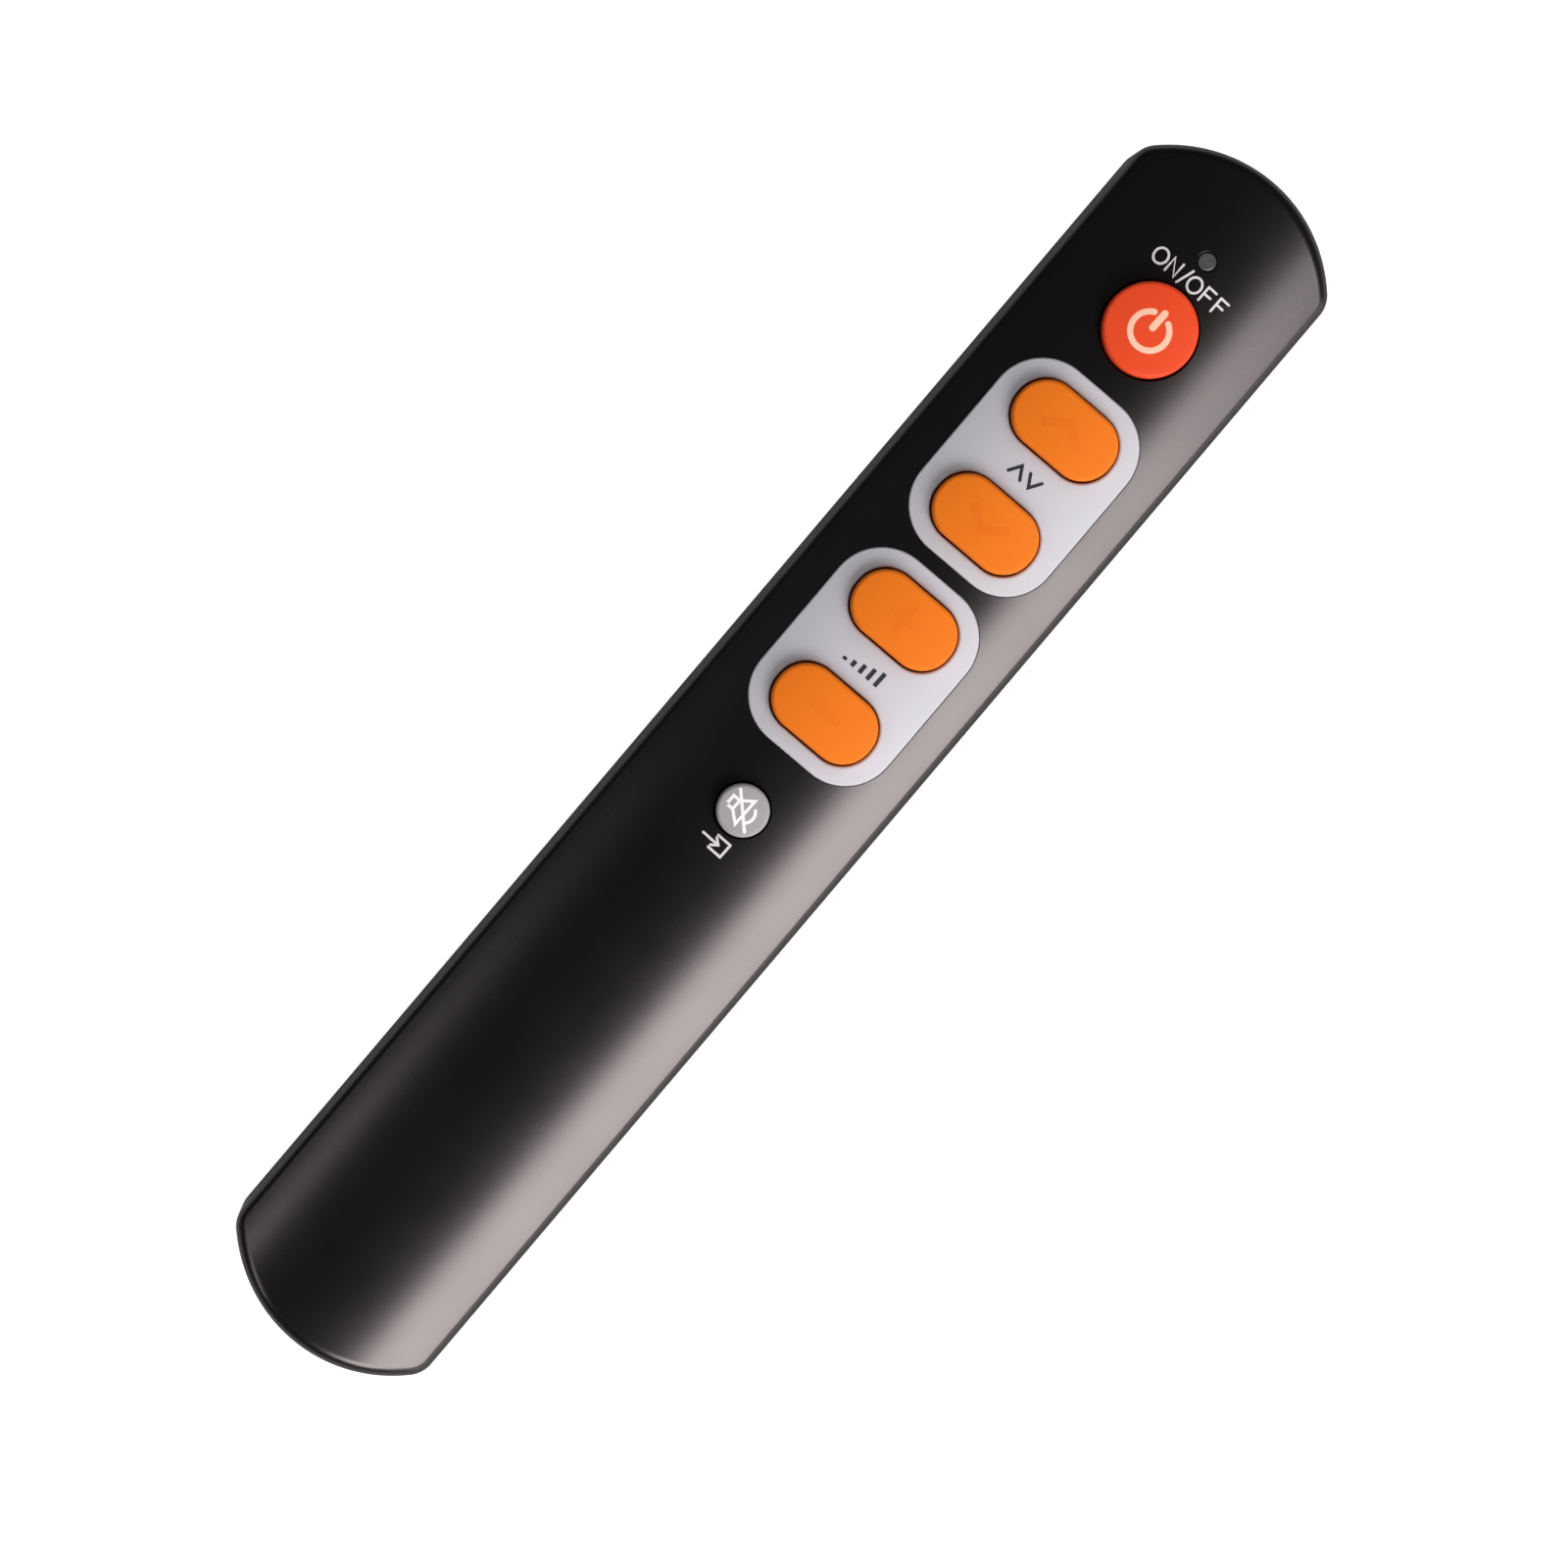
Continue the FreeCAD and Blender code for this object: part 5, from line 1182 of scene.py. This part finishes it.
@dataclass
class Panel:
    """Silver plate that follows the crown, with rolled edges around it and around its two openings."""

    name: str
    layout: Layout
    edge: float = 0.26
    lip: float = 0.3
    gap: float = 0.22

    def build(self) -> bpy.types.Object:
        """Make the plate and dress it.

        Returns:
            The plate.
        """
        layout = self.layout
        y = layout.panel_y[self.name]
        made = Surface()
        outer = layout.panel(y)
        border = made.wall(outer, layout.panel_back, layout.panel_crown, self.edge, 7)
        edges, backs = [], []
        for way in (1, -1):
            hole = layout.oval(layout.oval_y(self.name, way), self.gap, hole=True)
            edges.append(made.wall(hole, layout.panel_back, layout.panel_crown, self.lip, 6))
            backs.append(hole.ring())
        made.plate(border, edges, layout.panel_crown, (0.8, 1.6))
        made.plate(outer.ring(), backs, layout.panel_back, down=True)
        return settle(made.build(self.name + "_plate"), "case", SILVER_PAINT, [self.name + "_panel"])


@dataclass
class Key:
    """Rubber key: crowned head, retaining flange and boss, and the dome that springs it."""

    name: str
    layout: Layout
    line: Outline
    y: float
    slot: str
    finish: Finish
    pill_radius: float = 2.2
    edge: float = 0.5
    flange_bottom: float = 12.2
    flange_top: float = 13.0
    flange_grow: float = 0.75
    boss_bottom: float = 11.6
    boss_rim: float = 0.3
    mat_top: float = 11.2
    foot_room: float = 1.2
    dome_wall: float = 0.45
    dome_lean: float = 0.4

    def build(self) -> None:
        """Make the key and its dome and dress them."""
        made = Surface()
        edge = made.wall(self.line, Level(self.flange_top), self.layout.key_crown, self.edge, 8)
        made.plate(edge, [], self.layout.key_crown, (0.7, 0.7))
        grow = -self.flange_grow
        made.strip(self.line, (grow, self.flange_top), (0, self.flange_top))
        made.strip(self.line, (grow, self.flange_bottom), (grow, self.flange_top))
        boss = RoundOutline((0, self.y), self.pill_radius + self.boss_rim, 48)
        made.plate(self.line.ring(grow), [boss.ring()], Level(self.flange_bottom), down=True)
        made.strip(boss, (0, self.boss_bottom), (0, self.flange_bottom))
        made.plate(boss.ring(), [], Level(self.boss_bottom), down=True)
        settle(made.build(self.name + "_cap"), self.name + "_button", self.finish, [self.name + "_key"])
        self.dome()

    def dome(self) -> None:
        """Web that leans in from the mat to the flange along a half cosine, outside and inside."""
        foot = self.pill_radius + self.foot_room
        share = np.linspace(0, 1, 13)
        lean = self.dome_lean * (1 - np.cos(math.pi * share)) / 2
        slope = self.dome_lean * math.pi / 2 * np.sin(math.pi * share)
        height = self.flange_bottom - self.mat_top
        z = self.mat_top + height * share
        scale = np.hypot(height, slope)
        outward = np.column_stack((height / scale, slope / scale))
        outer = np.column_stack((foot + self.dome_wall - lean, z))
        inner = np.column_stack((foot - lean, z))
        made = Surface()
        made.smooth_turned(self.y, outer, outward)
        made.smooth_turned(self.y, inner[::-1], -outward[::-1])
        made.turned(self.y, np.array((outer[-1], inner[-1])))
        made.turned(self.y, np.array((inner[0], outer[0])))
        piece = settle(made.build(self.name + "_web"), "case", MAT_RUBBER, [self.name + "_dome"])
        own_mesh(piece)


@dataclass
class Keys:
    """The six keys."""

    layout: Layout

    def build(self) -> None:
        """Make every key with its own plan line and finish."""
        layout = self.layout
        power = RoundOutline((0, layout.power_y), layout.power_radius, 72)
        mute = RoundOutline((0, layout.mute_y), layout.mute_radius, 56)
        Key("power", layout, power, layout.power_y, "red_rubber", RED_RUBBER).build()
        Key("mute", layout, mute, layout.mute_y, "grey_rubber", GREY_RUBBER, pill_radius=1.5, edge=0.45).build()
        for panel in layout.panel_y:
            for word, way in (("up", 1), ("down", -1)):
                y = layout.oval_y(panel, way)
                Key(f"{panel}_{word}", layout, layout.oval(y), y, "orange_rubber", ORANGE_RUBBER).build()


@dataclass
class Prints:
    """Everything printed: captions on the cover and panels, and the marks on the keys."""

    layout: Layout
    rise: float = 0.02
    sink: float = 0.03
    slope: float = -1.3

    def build(self) -> None:
        """Make each print on its ground; the captions lean as they do on the real one."""
        layout = self.layout
        cover = (layout.crown, "case", "black_case", WHITE_INK)
        plate = (layout.panel_crown, "case", "silver_panel", NAVY_INK)
        top = layout.key_crown
        self.one("switch_print", Mark.SWITCH, (-0.1, 71.3), *cover)
        self.one("input_print", Mark.INPUT, (-0.1, -12.0), *cover)
        self.one("steps_print", Mark.STEPS, (0, 42.3), *plate)
        self.one("loudness_print", Mark.LOUDNESS, (0, 14.15), *plate)
        self.one("power_print", Mark.POWER, (0, layout.power_y), top, "power_button", "red_rubber", PALE_INK)
        self.one("muted_print", Mark.MUTED, (0, layout.mute_y), top, "mute_button", "grey_rubber", BRIGHT_INK)
        marks = {"channel": (Mark.UP, Mark.DOWN, ORANGE_MARK), "volume": (Mark.PLUS, Mark.MINUS, ORANGE_FAINT)}
        for panel, (*pair, paint) in marks.items():
            for word, way, mark in zip(("up", "down"), (1, -1), pair):
                key, spot = f"{panel}_{word}", (0, layout.oval_y(panel, way))
                self.one(key + "_print", mark, spot, top, key + "_button", "orange_rubber", paint, level=True)

    def one(self, name: str, mark: Mark, spot: Pair, ground: Crown, body: str, slot: str,
            paint: Finish, level: bool = False) -> None:
        """Turn a mark's shapes, move them to their spot and lay them on the ground.

        Args:
            name: the piece's name.
            mark: what it shows.
            spot: its middle.
            ground: surface that carries it.
            body: CAD body that carries it.
            slot: the record's material slot under it; not used.
            paint: its finish.
            level: whether it stands level in place of leaning by the slope in degrees.
        """
        turn = math.radians(0.0 if level else self.slope)
        matrix = np.array(((math.cos(turn), math.sin(turn)), (-math.sin(turn), math.cos(turn))))
        made = Surface()
        shapes = [shape @ matrix + spot for shape in MARKS[mark]]
        made.inlay(shapes, ground, self.rise, self.sink)
        settle(made.build(name), body, paint)


@dataclass
class BackAndInsides:
    """Carried-over CAD nodes with a finish for each."""

    finishes: dict[str, Finish] = field(default_factory=lambda: {
        "rear_shell": CASE_BLACK, "battery_door": DOOR_BLACK, "infrared_window": DARK_WINDOW,
        "indicator_lens": SMOKE_LENS, "indicator_chip": RED_EPOXY, "infrared_led": CLEAR_BLUE,
        "infrared_receiver": DARK_EPOXY, "keypad_mat": MAT_RUBBER, "circuit_board": SOLDER_MASK,
        "key_contacts": GILT, "controller_chip": CHIP_EPOXY, "memory_chip": CHIP_EPOXY, "transistor": CHIP_EPOXY,
        "controller_pins": TIN, "memory_pins": TIN, "solder_joints": TIN, "crystal": CAN_STEEL,
        "capacitor": BLUE_SLEEVE, "resistors": CERAMIC_COAT, "left_cell": CELL_LEFT, "right_cell": CELL_RIGHT,
        "negative_plate": NICKEL, "positive_plate": NICKEL, "link_plate": NICKEL, "negative_spring": NICKEL,
        "link_spring": NICKEL, "case_screws": ZINC,
    })

    def build(self) -> None:
        """Dress every node that keeps its CAD shape."""
        for node, finish in self.finishes.items():
            dress_node(node, finish)
        for key in ("power", "mute", "channel_up", "channel_down", "volume_up", "volume_down"):
            dress_node(key + "_pill", CARBON_RUBBER)


# ---- studio ----


@dataclass
class Studio:
    """White table, soft boxes and the camera."""

    table_half: float = 3.0
    table_top: float = -0.0001
    contact_reach: float = 0.03
    covered: float = 0.12
    mirrored_white: float = 0.2
    table_glow: float = 0.94
    table_grey: float = 0.3
    picture_width: float = 178.63
    distance: float = 700.0
    focus_height: float = 14.3
    middle: Pair = (1.86, -1.9)
    turn: float = 40.24
    tilt: float = 0.056
    sensor: float = 36.0
    horizon: Four = (-0.25, 0.1, 0.5, 0.03)

    def build(self) -> None:
        """Set up the table, lamps, world and camera."""
        self.table()
        self.world()
        warm, plain = (1.0, 0.955, 0.95), (1.0, 1.0, 1.0)
        self.lamp("right_softbox", (445.0, -222.0, 471.0), (0.0, -222.0, 15.0), (300.0, 720.0), 5.8, warm, 0.08)
        self.lamp("left_fill", (-375.0, -350.0, 483.0), (0.0, -100.0, 10.0), (84.0, 500.0), 0.5, warm)
        for name, way, power in (("head_fill", 1, 1.5), ("foot_fill", -1, 0.45)):
            self.lamp(name, (0.0, way * 500.0, 515.0), (0.0, 0.0, 15.0), (460.0, 420.0), power, plain, gloss=False)
        self.lamp("right_glow", (600.0, -60.0, 120.0), (0.0, -60.0, 15.0), (230.0, 700.0), 0.8, warm)
        self.camera()
        bpy.context.scene.view_settings.view_transform = "Standard"

    def table(self) -> None:
        """Flat white table with the object's shadow, white to the camera and in gloss, clear from below."""
        half = self.table_half
        mesh = bpy.data.meshes.new("table")
        corners = [(x * half, y * half, self.table_top) for x, y in ((-1, -1), (1, -1), (1, 1), (-1, 1))]
        mesh.from_pydata(corners, [], [(0, 1, 2, 3)])
        table = linked("table", mesh)
        paint = bpy.data.materials.new("table_white")
        paint.use_nodes = True
        wiring = Wiring(paint.node_tree)
        shader = wiring.nodes["Principled BSDF"]
        glow, clear = self.table_shares(wiring)
        wiring.feed(shader, {"Base Color": (self.table_grey,) * 3, "Roughness": 0.9, "Emission Color": (1, 1, 1),
                             "Emission Strength": glow})
        gone = wiring.add("BsdfTransparent").outputs["BSDF"]
        either = wiring.add("MixShader", {0: clear, 1: shader.outputs["BSDF"], 2: gone})
        wiring.feed(wiring.nodes["Material Output"], {"Surface": either.outputs["Shader"]})
        mesh.materials.append(paint)

    def table_shares(self, wiring: Wiring) -> tuple[Socket, Socket]:
        """How much the table glows and how clear it is.

        It glows to the camera, and in gloss and glass, where an ambient-occlusion term darkens the glow close to the
        object: painted contact shade in what the object mirrors. It is clear from below, and under the object for all
        but the camera, so that the back gets light from below.

        Args:
            wiring: the table material's nodes.

        Returns:
            Strength of the glow, and share of clearness.
        """
        path = wiring.add("LightPath").outputs
        below = wiring.add("NewGeometry").outputs["Backfacing"]
        near = wiring.add("AmbientOcclusion", {"Distance": self.contact_reach}, samples=8).outputs["AO"]
        mirrored = wiring.math("MAXIMUM", path["Is Glossy Ray"], path["Is Transmission Ray"])
        # painted contact shade: the glow seen in gloss and glass is darkened near the object by occlusion to the
        # fourth power
        shaded_gloss_share = wiring.math("MULTIPLY", wiring.math("POWER", near, 4.0), self.mirrored_white)
        gloss_glow_with_painted_shade = wiring.math("MULTIPLY", mirrored, shaded_gloss_share)
        glow = wiring.math("MULTIPLY", wiring.math("MAXIMUM", gloss_glow_with_painted_shade, path["Is Camera Ray"]), self.table_glow)
        under = wiring.math("LESS_THAN", near, self.covered)
        hidden = wiring.math("SUBTRACT", under, path["Is Camera Ray"])
        return glow, wiring.math("MAXIMUM", below, hidden)

    def world(self) -> None:
        """Light from below, dark from above, and white where the camera sees it."""
        world = bpy.data.worlds.new("surroundings")
        world.use_nodes = True
        wiring = Wiring(world.node_tree)
        place = wiring.add("TexCoord").outputs["Generated"]
        low = wiring.eased(wiring.parts(place)[2], self.horizon)
        seen = wiring.add("LightPath").outputs["Is Camera Ray"]
        wiring.feed(wiring.nodes["Background"], {"Color": (1, 1, 1), "Strength": wiring.math("MAXIMUM", low, seen)})
        bpy.context.scene.world = world

    def lamp(self, name: str, place: Triple, target: Triple, size: Pair, power: float, colour: Colour,
             lean: float = 0.0, gloss: bool = True) -> None:
        """Rectangular soft box that faces a target.

        Args:
            name: the lamp's name.
            place: its middle in millimetres.
            target: point that it faces.
            size: width and length in millimetres.
            power: watts.
            colour: tint of its light.
            lean: slope of its long side from Y towards X.
            gloss: whether glossy surfaces mirror it.
        """
        data = bpy.data.lights.new(name, "AREA")
        data.shape = "RECTANGLE"
        data.size, data.size_y = (side * MM for side in size)
        data.energy = power
        data.color = colour
        lamp = linked(name, data)
        lamp.visible_glossy = gloss
        back = (Vector(place) - Vector(target)).normalized()
        along = Vector((lean, 1, 0))
        across = along.cross(back).normalized()
        lamp.matrix_world = self.pose(across, back.cross(across), back, Vector(place) * MM)

    def pose(self, right: Vector, up: Vector, back: Vector, place: Vector) -> Matrix:
        """Matrix of an object whose axes and place are given."""
        turned = Matrix((right, up, back)).transposed().to_4x4()
        return Matrix.Translation(place) @ turned

    def camera(self) -> None:
        """Look down, slightly from the left, at the distance at which the picture spans its known width."""
        data = bpy.data.cameras.new("camera")
        data.sensor_width = self.sensor
        data.lens = self.sensor * self.distance / self.picture_width
        data.clip_start, data.clip_end = 0.01, 20.0
        camera = linked("camera", data)
        turn = math.radians(self.turn)
        right = Vector((math.cos(turn), math.sin(turn), 0))
        back = Vector((-self.tilt, 0, 1)).normalized()
        right = (right - right.dot(back) * back).normalized()
        place = (Vector((*self.middle, self.focus_height)) + self.distance * back) * MM
        camera.matrix_world = self.pose(right, back.cross(right), back, place)
        bpy.context.scene.camera = camera


def main() -> None:
    """Build the remote piece by piece, then the studio."""
    logging.basicConfig(level=logging.INFO, format="%(message)s")
    layout = Layout()
    FrontCover(layout).build()
    for name in layout.panel_y:
        Panel(name, layout).build()
    Keys(layout).build()
    Prints(layout).build()
    BackAndInsides().build()
    Studio().build()


if __name__ == "__main__":
    main()
